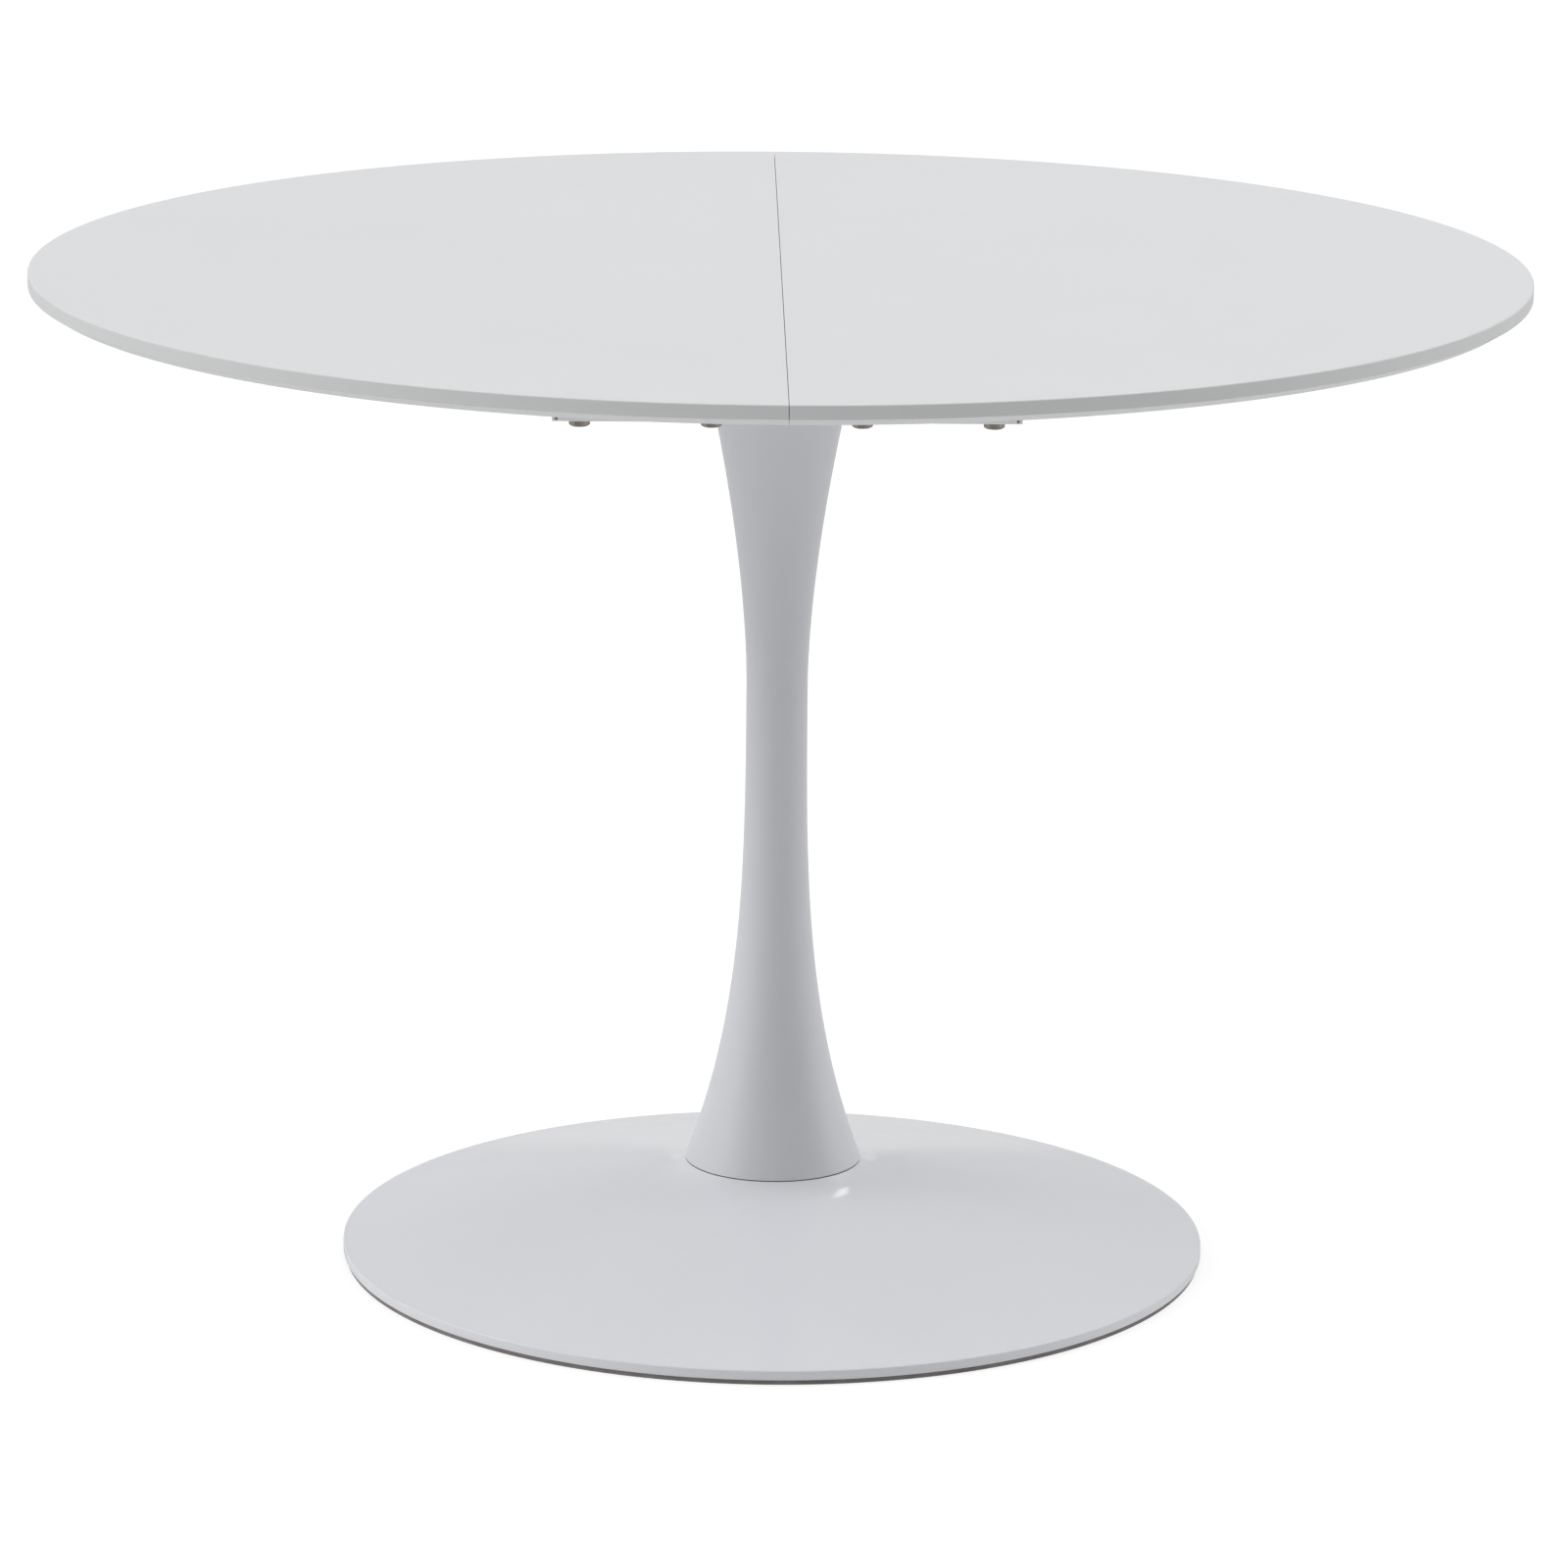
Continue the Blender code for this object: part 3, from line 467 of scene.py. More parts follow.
def applied(mesh, kind, **settings):
    """The mesh as a modifier of that kind leaves it."""
    holder = bpy.data.objects.new("holder", mesh)
    bpy.context.scene.collection.objects.link(holder)
    modifier = holder.modifiers.new("change", kind)
    for key, value in settings.items():
        setattr(modifier, key, value)
    bpy.context.view_layer.update()
    graph = bpy.context.evaluated_depsgraph_get()
    result = bpy.data.meshes.new_from_object(
        holder.evaluated_get(graph), preserve_all_data_layers=True, depsgraph=graph
    )
    bpy.data.objects.remove(holder, do_unlink=True)
    return result


def smoothed(mesh):
    """The mesh smooth except at sharp edges, with large flat faces shaded flat to their ends."""
    mesh.shade_smooth()
    mesh.set_sharp_from_angle(angle=SHARP_ANGLE)
    return applied(mesh, "WEIGHTED_NORMAL", mode="FACE_AREA", weight=100, keep_sharp=True)


def closed_mesh(bm, name):
    """The bmesh as a mesh with its faces out."""
    bmesh.ops.recalc_face_normals(bm, faces=bm.faces)
    mesh = bpy.data.meshes.new(name)
    bm.to_mesh(mesh)
    bm.free()
    return mesh


def finished(bm, name):
    return smoothed(closed_mesh(bm, name))


def add_piece(name, mesh, node, place=(0.0, 0.0, 0.0), stands_for=True):
    """A piece that rides with a CAD node's body and takes its slot, and may stand for the node."""
    if not mesh.materials:
        mesh.materials.append(LOOKS[SLOT_OF[node]])
    piece = bpy.data.objects.new(name, mesh)
    piece.location = place
    bpy.context.scene.collection.objects.link(piece)
    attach(piece, BODY_OF[node])
    if stands_for:
        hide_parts(node)


def circle(radius, z, count):
    """Points round the Z axis, or one point where the radius is nothing."""
    if radius < TINY:
        return [Vector((0.0, 0.0, z))]
    points = []
    for index in range(count):
        angle = math.tau * index / count
        points.append(Vector((radius * math.cos(angle), radius * math.sin(angle), z)))
    return points


def skin(bm, rings, closed=False):
    """Faces between each ring of points and the next. A ring of one point is a pole."""
    made = [[bm.verts.new(point) for point in ring] for ring in rings]
    pairs = list(zip(made, made[1:]))
    if closed:
        pairs.append((made[-1], made[0]))
    for one, other in pairs:
        count = max(len(one), len(other))
        for index in range(count):
            after = (index + 1) % count
            corners = []
            for ring, place in ((one, index), (other, index), (other, after), (one, after)):
                vert = ring[place % len(ring)]
                if vert not in corners:
                    corners.append(vert)
            bm.faces.new(corners)
    return made


def fillet(points, radius, steps, closed=True):
    """The outline with each corner rounded. radius is one number, or one for each corner."""
    radii = radius if isinstance(radius, (list, tuple)) else [radius] * len(points)
    rounded = []
    for index, corner in enumerate(points):
        here = Vector(corner)
        at_end = not closed and index in (0, len(points) - 1)
        if radii[index] < TINY or at_end:
            rounded.append(tuple(here))
            continue
        back = Vector(points[index - 1]) - here
        on = Vector(points[(index + 1) % len(points)]) - here
        wanted = radii[index] / math.tan(back.angle(on) / 2)
        reach = min(wanted, back.length * FILLET_SHARE, on.length * FILLET_SHARE)
        start = here + back.normalized() * reach
        end = here + on.normalized() * reach
        for step in range(steps + 1):
            share = step / steps
            point = start * (1 - share) ** 2 + here * (2 * share * (1 - share)) + end * share**2
            rounded.append(tuple(point))
    return rounded


def turned(name, profile, segments=ROUND_SEGMENTS, closed=False):
    """A profile of (radius, z) turned about the Z axis."""
    bm = bmesh.new()
    skin(bm, [circle(radius, z, segments) for radius, z in profile], closed)
    return finished(bm, name)


def eased(node, width):
    """The CAD node's mesh with its flat faces whole again and its sharp edges rounded."""
    bm = bmesh.new()
    bm.from_mesh(frame["nodes"][node].data)
    bmesh.ops.remove_doubles(bm, verts=bm.verts, dist=MERGE_DISTANCE)
    bmesh.ops.dissolve_limit(bm, angle_limit=FLAT_ANGLE, verts=bm.verts, edges=bm.edges)
    sharp = [edge for edge in bm.edges if edge.is_manifold and edge.calc_face_angle() > EASED_ANGLE]
    bmesh.ops.bevel(
        bm, geom=sharp, offset=width, segments=2, profile=0.5, affect="EDGES", clamp_overlap=True
    )
    return finished(bm, node + "_eased")


def cut(mesh, cutter):
    """The mesh with the cutter's shape taken out of it, and no materials."""
    tool = bpy.data.objects.new("tool", cutter)
    bpy.context.scene.collection.objects.link(tool)
    result = applied(mesh, "BOOLEAN", object=tool)
    bpy.data.objects.remove(tool, do_unlink=True)
    result.materials.clear()
    return smoothed(result)


def middle(node):
    low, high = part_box(node)
    return (low + high) / 2


def top_middle(node):
    """The middle of the upper face of a node's box."""
    place = middle(node)
    place.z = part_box(node)[1].z
    return place


# ---------------------------------------------------------------- the top


def top_profile():
    """Down the rim of the top, from its upper face to its lower one."""
    under = TOP_HEIGHT - TOP_THICKNESS
    corners = [
        (TOP_RADIUS - RIM_WIDTH, TOP_HEIGHT),
        (TOP_RADIUS, TOP_HEIGHT),
        (TOP_RADIUS, TOP_HEIGHT - BAND_HEIGHT),
        (TOP_RADIUS - BEVEL_WIDTH, under),
        (TOP_RADIUS - RIM_WIDTH, under),
    ]
    rounds = [0.0, TOP_EDGE_ROUND, BAND_ROUND, BEVEL_ROUND, 0.0]
    return fillet(corners, rounds, steps=5, closed=False)


def build_top(side, node):
    """Half of the round board. side is -1 for the left half and 1 for the right one."""
    bm = bmesh.new()
    rings = skin(bm, [circle(radius, z, TOP_SEGMENTS) for radius, z in top_profile()])
    bm.faces.new(rings[0])
    bm.faces.new(rings[-1])
    geometry = list(bm.verts) + list(bm.edges) + list(bm.faces)
    bmesh.ops.bisect_plane(
        bm,
        geom=geometry,
        plane_co=(side * SEAM_HALF, 0, 0),
        plane_no=(-side, 0, 0),
        clear_outer=True,
    )
    open_edges = [edge for edge in bm.edges if edge.is_boundary]
    seam_face = bmesh.ops.contextual_create(bm, geom=open_edges)["faces"]
    bmesh.ops.recalc_face_normals(bm, faces=bm.faces)
    seam_edges = [edge for face in seam_face for edge in face.edges]
    bmesh.ops.bevel(bm, geom=seam_edges, offset=SEAM_EASE, segments=2, profile=0.5, affect="EDGES")
    mesh = cut(closed_mesh(bm, node), pin_hole_cutter())
    add_piece("visual_" + node, mesh, node)


def pin_hole_cutter():
    """The holes for the pins, each with a small countersink at the seam."""
    across = Matrix.Rotation(math.pi / 2, 4, "Y")
    one_side = [
        (PIN_HOLE_RADIUS + PIN_HOLE_SINK, PIN_HOLE_SINK_END),
        (PIN_HOLE_RADIUS, PIN_HOLE_SINK_START),
        (PIN_HOLE_RADIUS, PIN_HOLE_DEPTH),
        (0.0, PIN_HOLE_DEPTH),
    ]
    profile = [(radius, -x) for radius, x in reversed(one_side)] + one_side
    hole = [circle(radius, x, PIN_HOLE_SEGMENTS) for radius, x in profile]
    bm = bmesh.new()
    for number in range(1, 5):
        centre = middle(f"seam_pin_{number}")
        place = Matrix.Translation((0.0, centre.y, centre.z)) @ across
        skin(bm, [[place @ point for point in ring] for ring in hole])
    return closed_mesh(bm, "pin_holes")


def build_pins():
    """Fluted beech dowels."""
    low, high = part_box("seam_pin_1")
    half = (high.x - low.x) / 2
    count = PIN_FLUTES * POINTS_PER_FLUTE
    rings = []
    straight = half - PIN_CHAMFER
    stations = [(-half, PIN_END), (-straight, 1.0), (straight, 1.0), (half, PIN_END)]
    for x, share in stations:
        ring = []
        for index in range(count):
            angle = math.tau * index / count
            flute = FLUTE_DEPTH * max(0.0, math.cos(PIN_FLUTES * angle)) ** 2
            radius = share * (PIN_RADIUS - flute)
            ring.append(Vector((x, radius * math.cos(angle), radius * math.sin(angle))))
        rings.append(ring)
    bm = bmesh.new()
    made = skin(bm, rings)
    bm.faces.new(made[0])
    bm.faces.new(made[-1])
    mesh = finished(bm, "dowel")
    for number in range(1, 5):
        node = f"seam_pin_{number}"
        add_piece(f"dowel_{number}", mesh, node, middle(node))


# ---------------------------------------------------------------- the column and the base


def column_radius(z):
    """The column's outside radius, which grows both ways from the waist."""
    if z >= WAIST_Z:
        rise = (z - WAIST_Z) / (COLUMN_TOP - WAIST_Z)
        return WAIST_RADIUS + (HEAD_RADIUS - WAIST_RADIUS) * rise**HEAD_POWER
    drop = (WAIST_Z - z) / (WAIST_Z - COLUMN_BOTTOM)
    return WAIST_RADIUS + (FOOT_RADIUS - WAIST_RADIUS) * drop**FOOT_POWER


def build_column():
    """The hollow trumpet, with its two ends' outer edges eased."""
    outer = []
    for step in range(COLUMN_RINGS + 1):
        z = COLUMN_TOP + (COLUMN_BOTTOM - COLUMN_TOP) * step / COLUMN_RINGS
        outer.append((column_radius(z), z))
    first, last = outer[0], outer[-1]
    ends = [
        [(first[0] - JOINT_EASE, first[1]), (first[0], first[1] - JOINT_EASE)],
        [(last[0] - COLUMN_FOOT_EASE, last[1] + JOINT_EASE), (last[0] - JOINT_EASE, last[1])],
    ]
    inner = [(radius - COLUMN_WALL, z) for radius, z in reversed(outer[::COLUMN_INNER_STEP])]
    profile = ends[0] + outer[1:-1] + ends[1] + inner
    mesh = turned("trumpet_column", profile, COLUMN_SEGMENTS, closed=True)
    add_piece("trumpet_column", mesh, "column")


def cover_height(radius):
    """The base's upper face: a shallow cone that flares up to the column's foot."""
    cone = COVER_RIM_TOP + COVER_SLOPE * (BASE_RADIUS - radius)
    foot_cone = COVER_RIM_TOP + COVER_SLOPE * (BASE_RADIUS - FOOT_RADIUS)
    return cone + (COVER_TOP - foot_cone) * math.exp((FOOT_RADIUS - radius) / COVER_FLARE_REACH)


def build_cover():
    """A pressed shell with a soft rim that hems under itself at the pad."""
    face_end = BASE_RADIUS - COVER_RIM_ROUND
    face = []
    for step in range(COVER_RINGS + 1):
        share = (step / COVER_RINGS) ** COVER_SPACING_POWER
        radius = FOOT_RADIUS + (face_end - FOOT_RADIUS) * share
        face.append((radius, cover_height(radius)))
    top_of_rim = face[-1][1]
    rim_corners = [
        face[-1],
        (BASE_RADIUS, top_of_rim),
        (BASE_RADIUS, COVER_BOTTOM),
        (BASE_RADIUS - COVER_WALL, COVER_BOTTOM),
    ]
    rim = fillet(rim_corners, [0.0, COVER_RIM_ROUND, COVER_HEM_ROUND, 0.0], steps=6, closed=False)
    under_face = reversed(face[:-2:COVER_INNER_STEP])
    inner = [(radius - COVER_WALL / 2, z - COVER_WALL) for radius, z in under_face]
    lip_end = FOOT_RADIUS + COVER_LIP_EASE
    lip = [(FOOT_RADIUS - JOINT_EASE, COVER_TOP), (lip_end, cover_height(lip_end))]
    inner_rim = [(BASE_RADIUS - COVER_WALL, top_of_rim - COVER_WALL)]
    profile = lip + face[2:-1] + rim + inner_rim + inner
    mesh = turned("gloss_base", profile, COVER_SEGMENTS, closed=True)
    add_piece("gloss_base", mesh, "base_cover")


def build_pad():
    """A flat ring with rounded edges."""
    low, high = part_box("base_pad")
    corners = [(high.x, high.z), (high.x, low.z), (PAD_INNER, low.z), (PAD_INNER, high.z)]
    profile = fillet(corners, PAD_ROUND, steps=2)
    add_piece("floor_pad", turned("floor_pad", profile, COVER_SEGMENTS, closed=True), "base_pad")


# ---------------------------------------------------------------- the frame under the top


def tube_outline(low, high, inset, corner):
    """The rounded outline of a tube's end, that far inside its box."""
    low_y, low_z = low.y + inset, low.z + inset
    high_y, high_z = high.y - inset, high.z - inset
    corners = [(low_y, low_z), (high_y, low_z), (high_y, high_z), (low_y, high_z)]
    return fillet(corners, corner, steps=5)


def build_crossbar(node, front):
    """A rectangular tube with rounded corners and two small vent holes in its outer wall."""
    low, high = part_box(node)
    outer = tube_outline(low, high, 0.0, CROSSBAR_CORNER)
    eased_outer = tube_outline(low, high, METAL_EASE, CROSSBAR_CORNER)
    inner = tube_outline(low, high, CROSSBAR_WALL, CROSSBAR_CORNER - CROSSBAR_WALL / 2)
    stations = [
        (low.x + METAL_EASE, outer),
        (high.x - METAL_EASE, outer),
        (high.x, eased_outer),
        (high.x, inner),
        (low.x, inner),
        (low.x, eased_outer),
    ]
    rings = [[Vector((x, y, z)) for y, z in outline] for x, outline in stations]
    bm = bmesh.new()
    skin(bm, rings, closed=True)
    mesh = cut(closed_mesh(bm, node), vent_cutter(low, high, front))
    add_piece("visual_" + node, mesh, node)


def vent_cutter(low, high, front):
    """The two vent holes of a crossbar with that box."""
    wall_y = low.y if front else high.y
    across = Matrix.Rotation(math.pi / 2, 4, "X")
    reach = CROSSBAR_WALL * 1.5
    profile = [(0.0, -reach), (VENT_RADIUS, -reach), (VENT_RADIUS, reach), (0.0, reach)]
    vent = [circle(radius, y, VENT_SEGMENTS) for radius, y in profile]
    bm = bmesh.new()
    for x in (low.x + VENT_INSET, high.x - VENT_INSET):
        place = Matrix.Translation((x, wall_y, low.z + VENT_RISE)) @ across
        skin(bm, [[place @ point for point in ring] for ring in vent])
    return closed_mesh(bm, "vents")


def weld_rings(y, side, corner_z):
    """Quarter circles along a corner that faces side: rippled, and thinner at the bead's ends."""
    count = int(WELD_LENGTH / WELD_RIPPLE) * WELD_RIPPLE_STEPS
    rings = []
    for step in range(count + 1):
        x = WELD_LENGTH * (step / count - 0.5)
        ripple = 1.0 - WELD_RIPPLE_DEPTH * (1.0 - abs(math.sin(math.pi * x / WELD_RIPPLE)))
        taper = min(1.0, WELD_END + WELD_GROWTH * min(step, count - step))
        radius = WELD_RADIUS * ripple * taper
        ring = []
        for part in range(WELD_ARC_STEPS + 1):
            angle = math.pi / 2 * part / WELD_ARC_STEPS
            out, up = radius * math.cos(angle), radius * math.sin(angle)
            ring.append(Vector((x, y + side * out, corner_z + up)))
        ring.append(Vector((x, y - side * WELD_ROOT, corner_z - WELD_ROOT)))
        rings.append(ring)
    return rings


def build_welds():
    """Rippled beads where the plate between the crossbars meets them."""
    low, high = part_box("mounting_plate")
    for number, (side, y) in enumerate(((1, low.y), (-1, high.y)), 1):
        bm = bmesh.new()
        made = skin(bm, weld_rings(y, side, high.z))
        bm.faces.new(made[0])
        bm.faces.new(made[-1])
        mesh = finished(bm, f"weld_{number}")
        add_piece(f"weld_{number}", mesh, "mounting_plate", stands_for=False)


def hexagon(flats):
    """(angle, radius) of points round a hexagon."""
    points = []
    for index in range(HEX_SEGMENTS):
        angle = math.tau * index / HEX_SEGMENTS
        off_middle = (angle + math.pi / 6) % (math.pi / 3) - math.pi / 6
        points.append((angle, flats / 2 / math.cos(off_middle)))
    return points


def hexagon_rings(flats, z_end, direction):
    """The chamfered end of a hexagon: its round flat, and the edge where the chamfer runs out.

    direction is 1 where the end faces up and -1 where it faces down.
    """
    round_radius = flats / 2 * HEX_CHAMFER
    flat = []
    edge = []
    for angle, radius in hexagon(flats):
        across = Vector((math.cos(angle), math.sin(angle), 0.0))
        flat.append(across * round_radius + Vector((0, 0, z_end)))
        fall = (radius - round_radius) * HEX_CHAMFER_SLOPE
        edge.append(across * radius + Vector((0, 0, z_end - direction * fall)))
    return flat, edge


def hex_circles(profile):
    """Circles of as many points as a hexagon has, from a profile of (radius, z)."""
    return [circle(radius, z, HEX_SEGMENTS) for radius, z in profile]


def build_bolts():
    """Flanged hexagon bolts, head down."""
    low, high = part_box("rail_bolt_1")
    seat = high.z - BOLT_REACH
    flange_end = seat - BOLT_FLANGE_HEIGHT
    half_width = BOLT_HEAD_FLATS / 2
    shank = [
        (0.0, high.z),
        (BOLT_SHANK - CHAMFER, high.z),
        (BOLT_SHANK, high.z - CHAMFER),
        (BOLT_SHANK, seat),
    ]
    flange = [(BOLT_FLANGE - inset, seat - drop) for inset, drop in BOLT_FLANGE_EDGE]
    skirt = [(half_width * BOLT_SKIRT, flange_end)]
    flat, edge = hexagon_rings(BOLT_HEAD_FLATS, low.z, -1)
    foot = [Vector((point.x, point.y, flange_end)) for point in edge]
    dish_floor = low.z + BOLT_DISH_DEPTH
    dish = [
        (half_width * BOLT_DISH, low.z),
        (half_width * BOLT_DISH * BOLT_DISH_FLOOR, dish_floor),
        (0.0, dish_floor),
    ]
    bm = bmesh.new()
    skin(bm, hex_circles(shank + flange + skirt) + [foot, edge, flat] + hex_circles(dish))
    from_its_top = CORNERS_SIDEWAYS @ Matrix.Translation((0.0, 0.0, -high.z))
    bmesh.ops.transform(bm, matrix=from_its_top, verts=bm.verts)
    mesh = finished(bm, "flange_bolt")
    for number in range(1, 9):
        node = f"rail_bolt_{number}"
        add_piece(f"flange_bolt_{number}", mesh, node, top_middle(node))


def build_nut(node):
    """A hexagon nut, chamfered at both ends and in its bore."""
    low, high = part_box(node)
    top_flat, top_edge = hexagon_rings(NUT_FLATS, high.z, 1)
    low_flat, low_edge = hexagon_rings(NUT_FLATS, low.z, -1)
    bore = [
        (BORE_RADIUS + BORE_CHAMFER, low.z),
        (BORE_RADIUS, low.z + BORE_CHAMFER),
        (BORE_RADIUS, high.z - BORE_CHAMFER),
        (BORE_RADIUS + BORE_CHAMFER, high.z),
    ]
    bm = bmesh.new()
    skin(bm, [top_flat, top_edge, low_edge, low_flat] + hex_circles(bore), closed=True)
    add_piece("visual_" + node, finished(bm, node), node)


def build_washer(node):
    low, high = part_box(node)
    corners = [(high.x, high.z), (high.x, low.z), (BORE_RADIUS, low.z), (BORE_RADIUS, high.z)]
    profile = fillet(corners, METAL_EASE, steps=2)
    add_piece("visual_" + node, turned(node, profile, WASHER_SEGMENTS, closed=True), node)


def build_rod():
    """The tie rod, threaded at its upper end."""
    low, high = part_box("tie_rod")
    profile = [(0.0, high.z), (ROD_RADIUS - ROD_TOP_CHAMFER, high.z)]
    count = int(THREAD_LENGTH / THREAD_PITCH)
    for number in range(count):
        crest = high.z - ROD_TOP_CHAMFER - number * THREAD_PITCH
        profile.append((ROD_RADIUS, crest))
        profile.append((ROD_RADIUS, crest - THREAD_PITCH * THREAD_CREST))
        profile.append((ROD_RADIUS - THREAD_DEPTH, crest - THREAD_PITCH * THREAD_ROOT))
    profile.append((ROD_RADIUS, high.z - ROD_TOP_CHAMFER - count * THREAD_PITCH))
    profile += [(ROD_RADIUS, low.z + CHAMFER), (ROD_RADIUS - CHAMFER, low.z), (0.0, low.z)]
    add_piece("threaded_rod", turned("threaded_rod", profile), "tie_rod")


def cross_cutter(z_end):
    """A cross recess in a head that faces down and ends at z_end."""
    bm = bmesh.new()
    for long_x in (True, False):
        size = (RECESS_REACH, RECESS_ARM) if long_x else (RECESS_ARM, RECESS_REACH)
        rings = []
        for share, rise in ((1.0, -RECESS_MOUTH), (1.0, 0.0), (RECESS_FLOOR, RECESS_DEPTH)):
            x, y = size[0] * share, size[1] * (0.5 + 0.5 * share)
            corners = ((x, y), (-x, y), (-x, -y), (x, -y))
            rings.append([Vector((*corner, z_end + rise)) for corner in corners])
        made = skin(bm, rings)
        bm.faces.new(made[0])
        bm.faces.new(made[-1])
    return closed_mesh(bm, "cross_recess")


def headed(name, profile, z_end):
    """A turned screw or pin with a cross recess in its lower end."""
    return cut(turned(name, profile), cross_cutter(z_end))


def build_screws():
    """Pan head screws under the runners."""
    low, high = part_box("runner_screw_1")
    length = high.z - low.z
    neck = -length + SCREW_HEAD_HEIGHT
    profile = [
        (0.0, 0.0),
        (SCREW_SHANK, -SCREW_TAPER),
        (SCREW_SHANK, neck),
        (SCREW_HEAD - METAL_EASE, neck),
        (SCREW_HEAD, neck - METAL_EASE),
    ]
    profile += [(SCREW_HEAD - inset, neck - drop) for inset, drop in SCREW_HEAD_EDGE]
    profile += [(SCREW_HEAD_FLAT, -length), (0.0, -length)]
    mesh = headed("pan_screw", profile, -length)
    for number in range(1, 9):
        node = f"runner_screw_{number}"
        add_piece(f"pan_screw_{number}", mesh, node, top_middle(node))


def build_latch_pins():
    """Shouldered pins that hold the hooks, and those that the hooks catch."""
    low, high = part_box("front_latch_pivot")
    length = high.z - low.z
    shoulder_end = -LATCH_SHOULDER_HEIGHT
    head_top = -length + LATCH_HEAD_HEIGHT
    profile = [
        (0.0, 0.0),
        (LATCH_SHOULDER, 0.0),
        (LATCH_SHOULDER, shoulder_end + METAL_EASE),
        (LATCH_SHOULDER - METAL_EASE, shoulder_end),
        (LATCH_SHAFT, shoulder_end),
        (LATCH_SHAFT, head_top),
        (LATCH_HEAD - METAL_EASE, head_top),
        (LATCH_HEAD, head_top - METAL_EASE),
    ]
    profile += [(LATCH_HEAD - inset, head_top - drop) for inset, drop in LATCH_HEAD_EDGE]
    profile.append((0.0, -length))
    mesh = headed("latch_pin", profile, -length)
    for latch in ("front", "back"):
        for part in ("pivot", "keeper"):
            node = f"{latch}_latch_{part}"
            add_piece(f"visual_{node}", mesh, node, top_middle(node))


def build_studs():
    """The studs that meet the stop plates."""
    low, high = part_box("stop_stud_1")
    half = (high.z - low.z) / 2
    corners = [(0.0, half), (STUD_RADIUS, half), (STUD_RADIUS, -half), (0.0, -half)]
    profile = fillet(corners, [0.0, METAL_EASE, METAL_EASE * 2, 0.0], steps=3, closed=False)
    mesh = turned("stud", profile)
    for number in range(1, 5):
        node = f"stop_stud_{number}"
        add_piece(f"stud_{number}", mesh, node, middle(node))


def build_eased():
    """Pieces whose CAD shape is right and only lacks its eased edges."""
    wood = ["front_rail", "back_rail"]
    wood += [f"{slide}_{half}_runner" for slide in ("front", "back") for half in ("left", "right")]
    metal = ["mounting_plate", "left_rib", "right_rib", "front_latch_hook", "back_latch_hook"]
    metal += [f"stop_plate_{number}" for number in range(1, 5)]
    metal += ["base_plate", "ballast_plate", "foot_socket", "top_spigot"]
    for names, width in ((wood, WOOD_EASE), (metal, PLATE_EASE)):
        for node in names:
            add_piece("visual_" + node, eased(node, width), node)


# ---------------------------------------------------------------- the studio


def build_floor():
    """A plain pale floor that the camera sees as white."""
    half = FLOOR_SIZE / 2
    mesh = bpy.data.meshes.new("floor")
    corners = [(-half, -half, 0.0), (half, -half, 0.0), (half, half, 0.0), (-half, half, 0.0)]
    mesh.from_pydata(corners, [], [(0, 1, 2, 3)])
    look = Shader("studio_floor")
    pale = (FLOOR_COLOUR, FLOOR_COLOUR, FLOOR_COLOUR)
    look.colour(look.mix(look.noise(0.6, 2.0), shade(pale, 0.997), pale))
    look.set(Roughness=1.0, Specular_IOR_Level=0.0, Emission_Color=(1.0, 1.0, 1.0, 1.0))
    seen = look.node("ShaderNodeLightPath").outputs["Is Camera Ray"]
    glow = look.remap(seen, 0.0, 1.0, FLOOR_GLOW, FLOOR_SHOWN)
    look.join(glow, look.output.inputs["Emission Strength"])
    mesh.materials.append(look.material)
    floor = bpy.data.objects.new("floor", mesh)
    bpy.context.scene.collection.objects.link(floor)


class Sky(Tree):
    """The studio's light as a world shader: values that depend on the direction they come from."""

    def __init__(self):
        world = bpy.data.worlds.new("studio")
        bpy.context.scene.world = world
        world.use_nodes = True
        super().__init__(world.node_tree)

    def step(self, value, low, high, to_low, to_high):
        return self.remap(value, low, high, to_low, to_high, interpolation_type="SMOOTHSTEP")

    def glow(self, background, strength):
        """White light of one strength, or of another node's value."""
        background.inputs["Color"].default_value = (1.0, 1.0, 1.0, 1.0)
        if isinstance(strength, float):
            background.inputs["Strength"].default_value = strength
        else:
            self.join(strength, background.inputs["Strength"])
        return background.outputs["Background"]


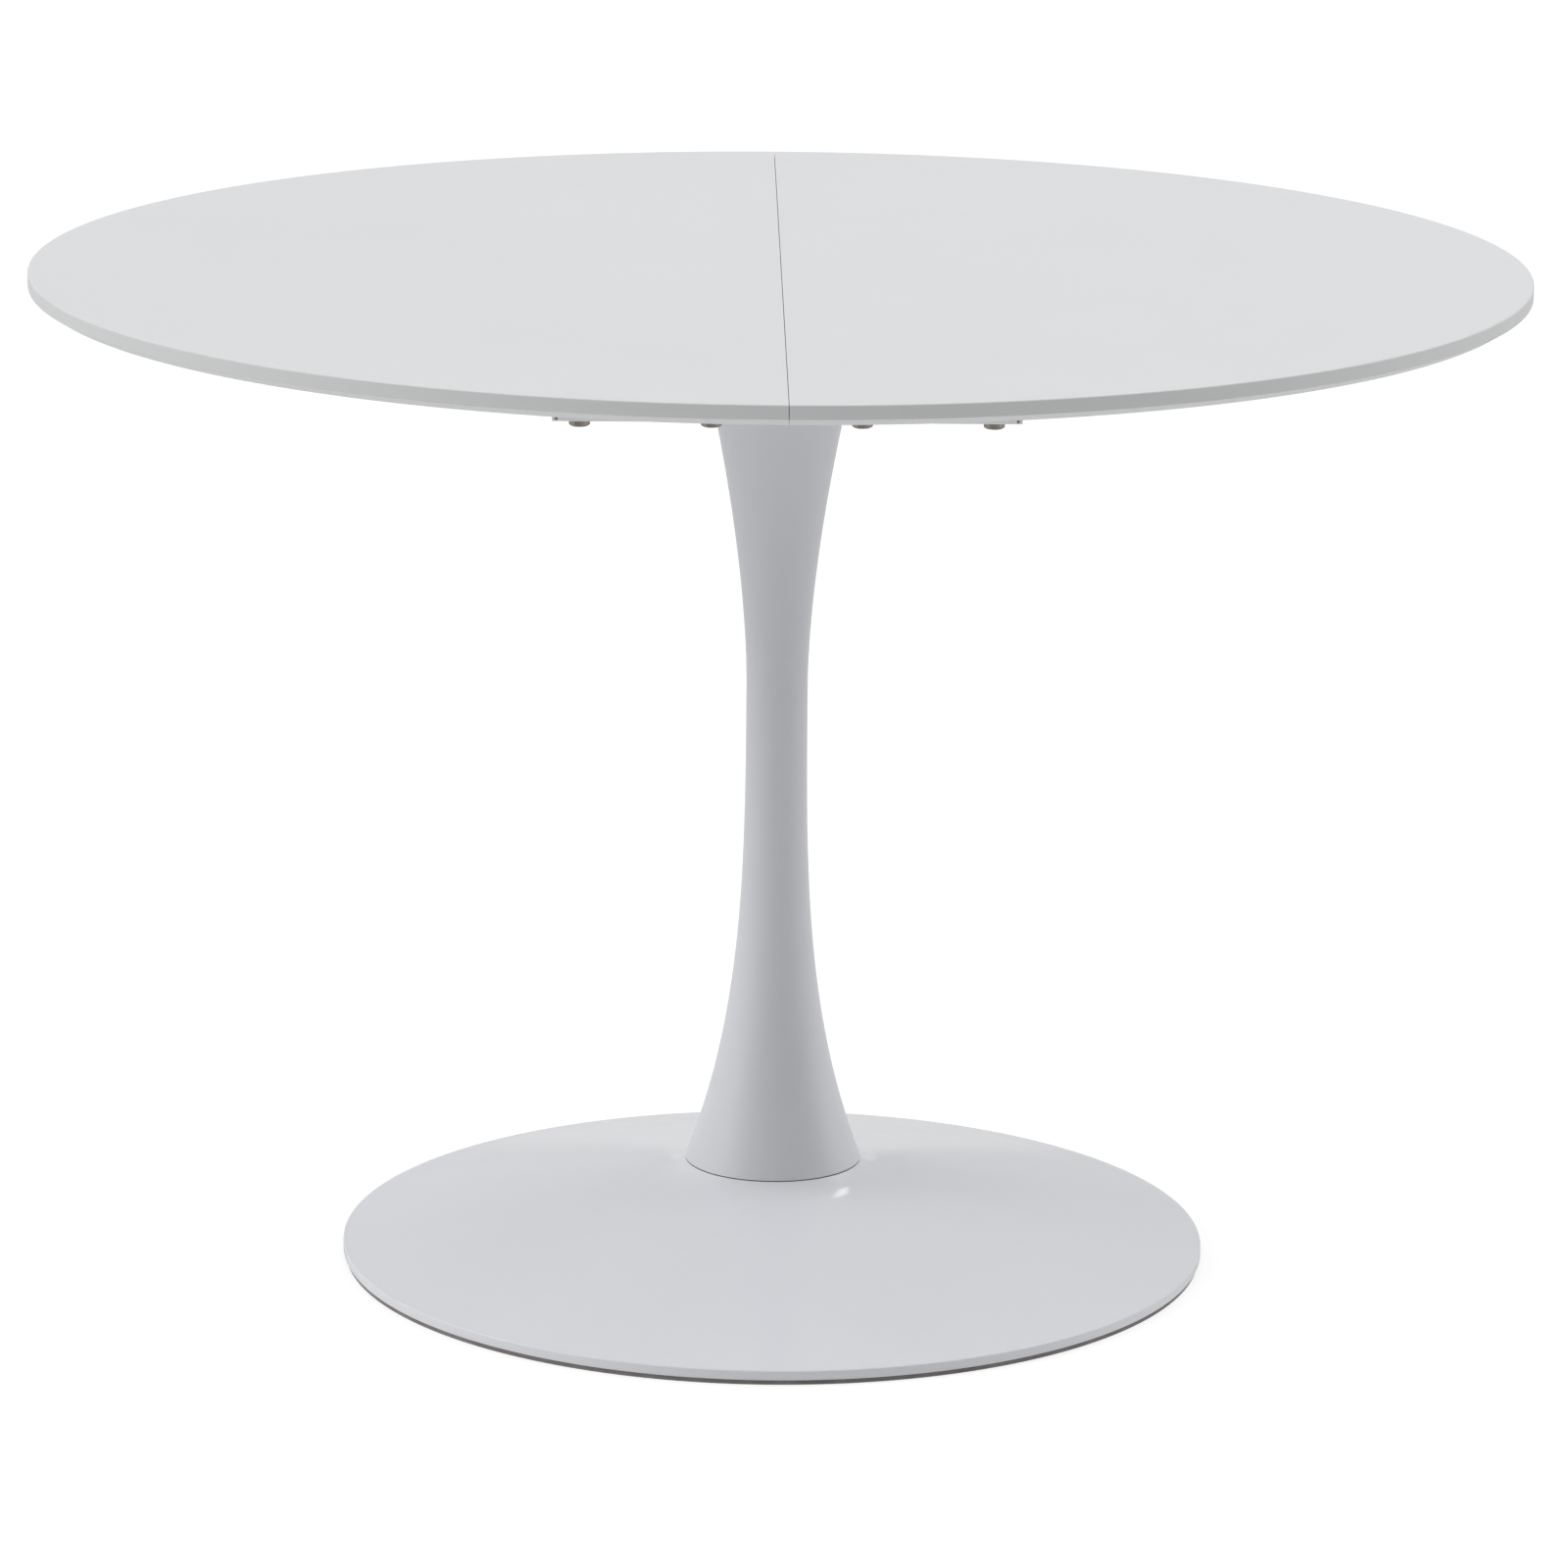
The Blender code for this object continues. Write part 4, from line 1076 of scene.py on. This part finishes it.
def build_world():
    """Soft light, dark in front of the table and bright beside and above it, with white behind."""
    sky = Sky()
    turn = sky.node("ShaderNodeVectorRotate", rotation_type="Z_AXIS")
    turn.inputs["Angle"].default_value = math.radians(-SIDE_TURN)
    parts = sky.node("ShaderNodeSeparateXYZ")
    sky.join(sky.node("ShaderNodeTexCoord").outputs["Generated"], turn.inputs["Vector"])
    sky.join(turn.outputs["Vector"], parts.inputs["Vector"])
    x, y, z = parts.outputs
    low_share = sky.step(z, *LOW_BAND, 1.0, 0.0)
    high_share = sky.step(z, *HIGH_BAND, 0.0, 1.0)
    middle_share = sky.math("SUBTRACT", sky.math("SUBTRACT", 1.0, low_share), high_share)
    flat = sky.math("MAXIMUM", sky.math("SUBTRACT", 1.0, sky.math("MULTIPLY", z, z)), TINY)
    across = sky.math("DIVIDE", sky.math("MULTIPLY", x, x), flat)
    side_share = sky.math("POWER", across, SIDE_SHARPNESS)
    depth_share = sky.math("SUBTRACT", 1.0, side_share)
    total = sky.math("MULTIPLY", high_share, SKY_LIGHT)
    sides = {
        "front": (y, -1, depth_share),
        "right": (x, 1, side_share),
        "back": (y, 1, depth_share),
        "left": (x, -1, side_share),
    }
    for side, (axis, sign, axis_share) in sides.items():
        facing = sky.math("GREATER_THAN", sky.math("MULTIPLY", axis, sign), 0.0)
        share = sky.math("MULTIPLY", facing, axis_share)
        low, middle_light = SIDE_LIGHT[side]
        low_light = sky.math("MULTIPLY", low_share, low)
        light = sky.math("MULTIPLY_ADD", middle_share, middle_light, low_light)
        total = sky.math("MULTIPLY_ADD", share, light, total)
    lit = sky.glow(sky.tree.nodes["Background"], total)
    backdrop = sky.glow(sky.node("ShaderNodeBackground"), BACKDROP)
    chosen = sky.node("ShaderNodeMixShader")
    sky.join(sky.node("ShaderNodeLightPath").outputs["Is Camera Ray"], chosen.inputs["Fac"])
    sky.join(lit, chosen.inputs[1])
    sky.join(backdrop, chosen.inputs[2])
    sky.join(chosen.outputs["Shader"], sky.tree.nodes["World Output"].inputs["Surface"])


def build_lamp():
    light = bpy.data.lights.new("right_softbox", "AREA")
    light.shape = "RECTANGLE"
    light.size, light.size_y = LAMP_SIZE
    light.energy = LAMP_POWER
    lamp = bpy.data.objects.new("right_softbox", light)
    bpy.context.scene.collection.objects.link(lamp)
    lamp.location = LAMP_PLACE
    towards = Vector(LAMP_AIM) - Vector(LAMP_PLACE)
    lamp.rotation_euler = towards.to_track_quat("-Z", "Y").to_euler()


def build_camera():
    data = bpy.data.cameras.new("camera")
    data.lens = CAMERA_LENS
    data.sensor_width = SENSOR_WIDTH
    data.clip_end = CAMERA_REACH
    camera = bpy.data.objects.new("camera", data)
    bpy.context.scene.collection.objects.link(camera)
    pan = Matrix.Rotation(math.radians(CAMERA_PAN), 4, "Z")
    pitch = Matrix.Rotation(math.radians(90 - CAMERA_PITCH), 4, "X")
    roll = Matrix.Rotation(math.radians(CAMERA_ROLL), 4, "Z")
    camera.matrix_world = Matrix.Translation(CAMERA_PLACE) @ pan @ pitch @ roll
    bpy.context.scene.camera = camera


build_camera()
build_world()
build_floor()
build_lamp()
for name, node in frame["nodes"].items():
    node.data.materials.clear()
    node.data.materials.append(LOOKS[SLOT_OF[name]])
build_top(-1, "left_top")
build_top(1, "right_top")
build_pins()
build_column()
build_cover()
build_pad()
build_crossbar("front_crossbar", True)
build_crossbar("back_crossbar", False)
build_welds()
build_eased()
build_bolts()
build_nut("top_nut")
build_nut("bottom_nut")
build_washer("top_washer")
build_washer("bottom_washer")
build_rod()
build_screws()
build_latch_pins()
build_studs()

bpy.context.scene.view_settings.view_transform = "Standard"
bpy.context.scene.view_settings.look = "None"
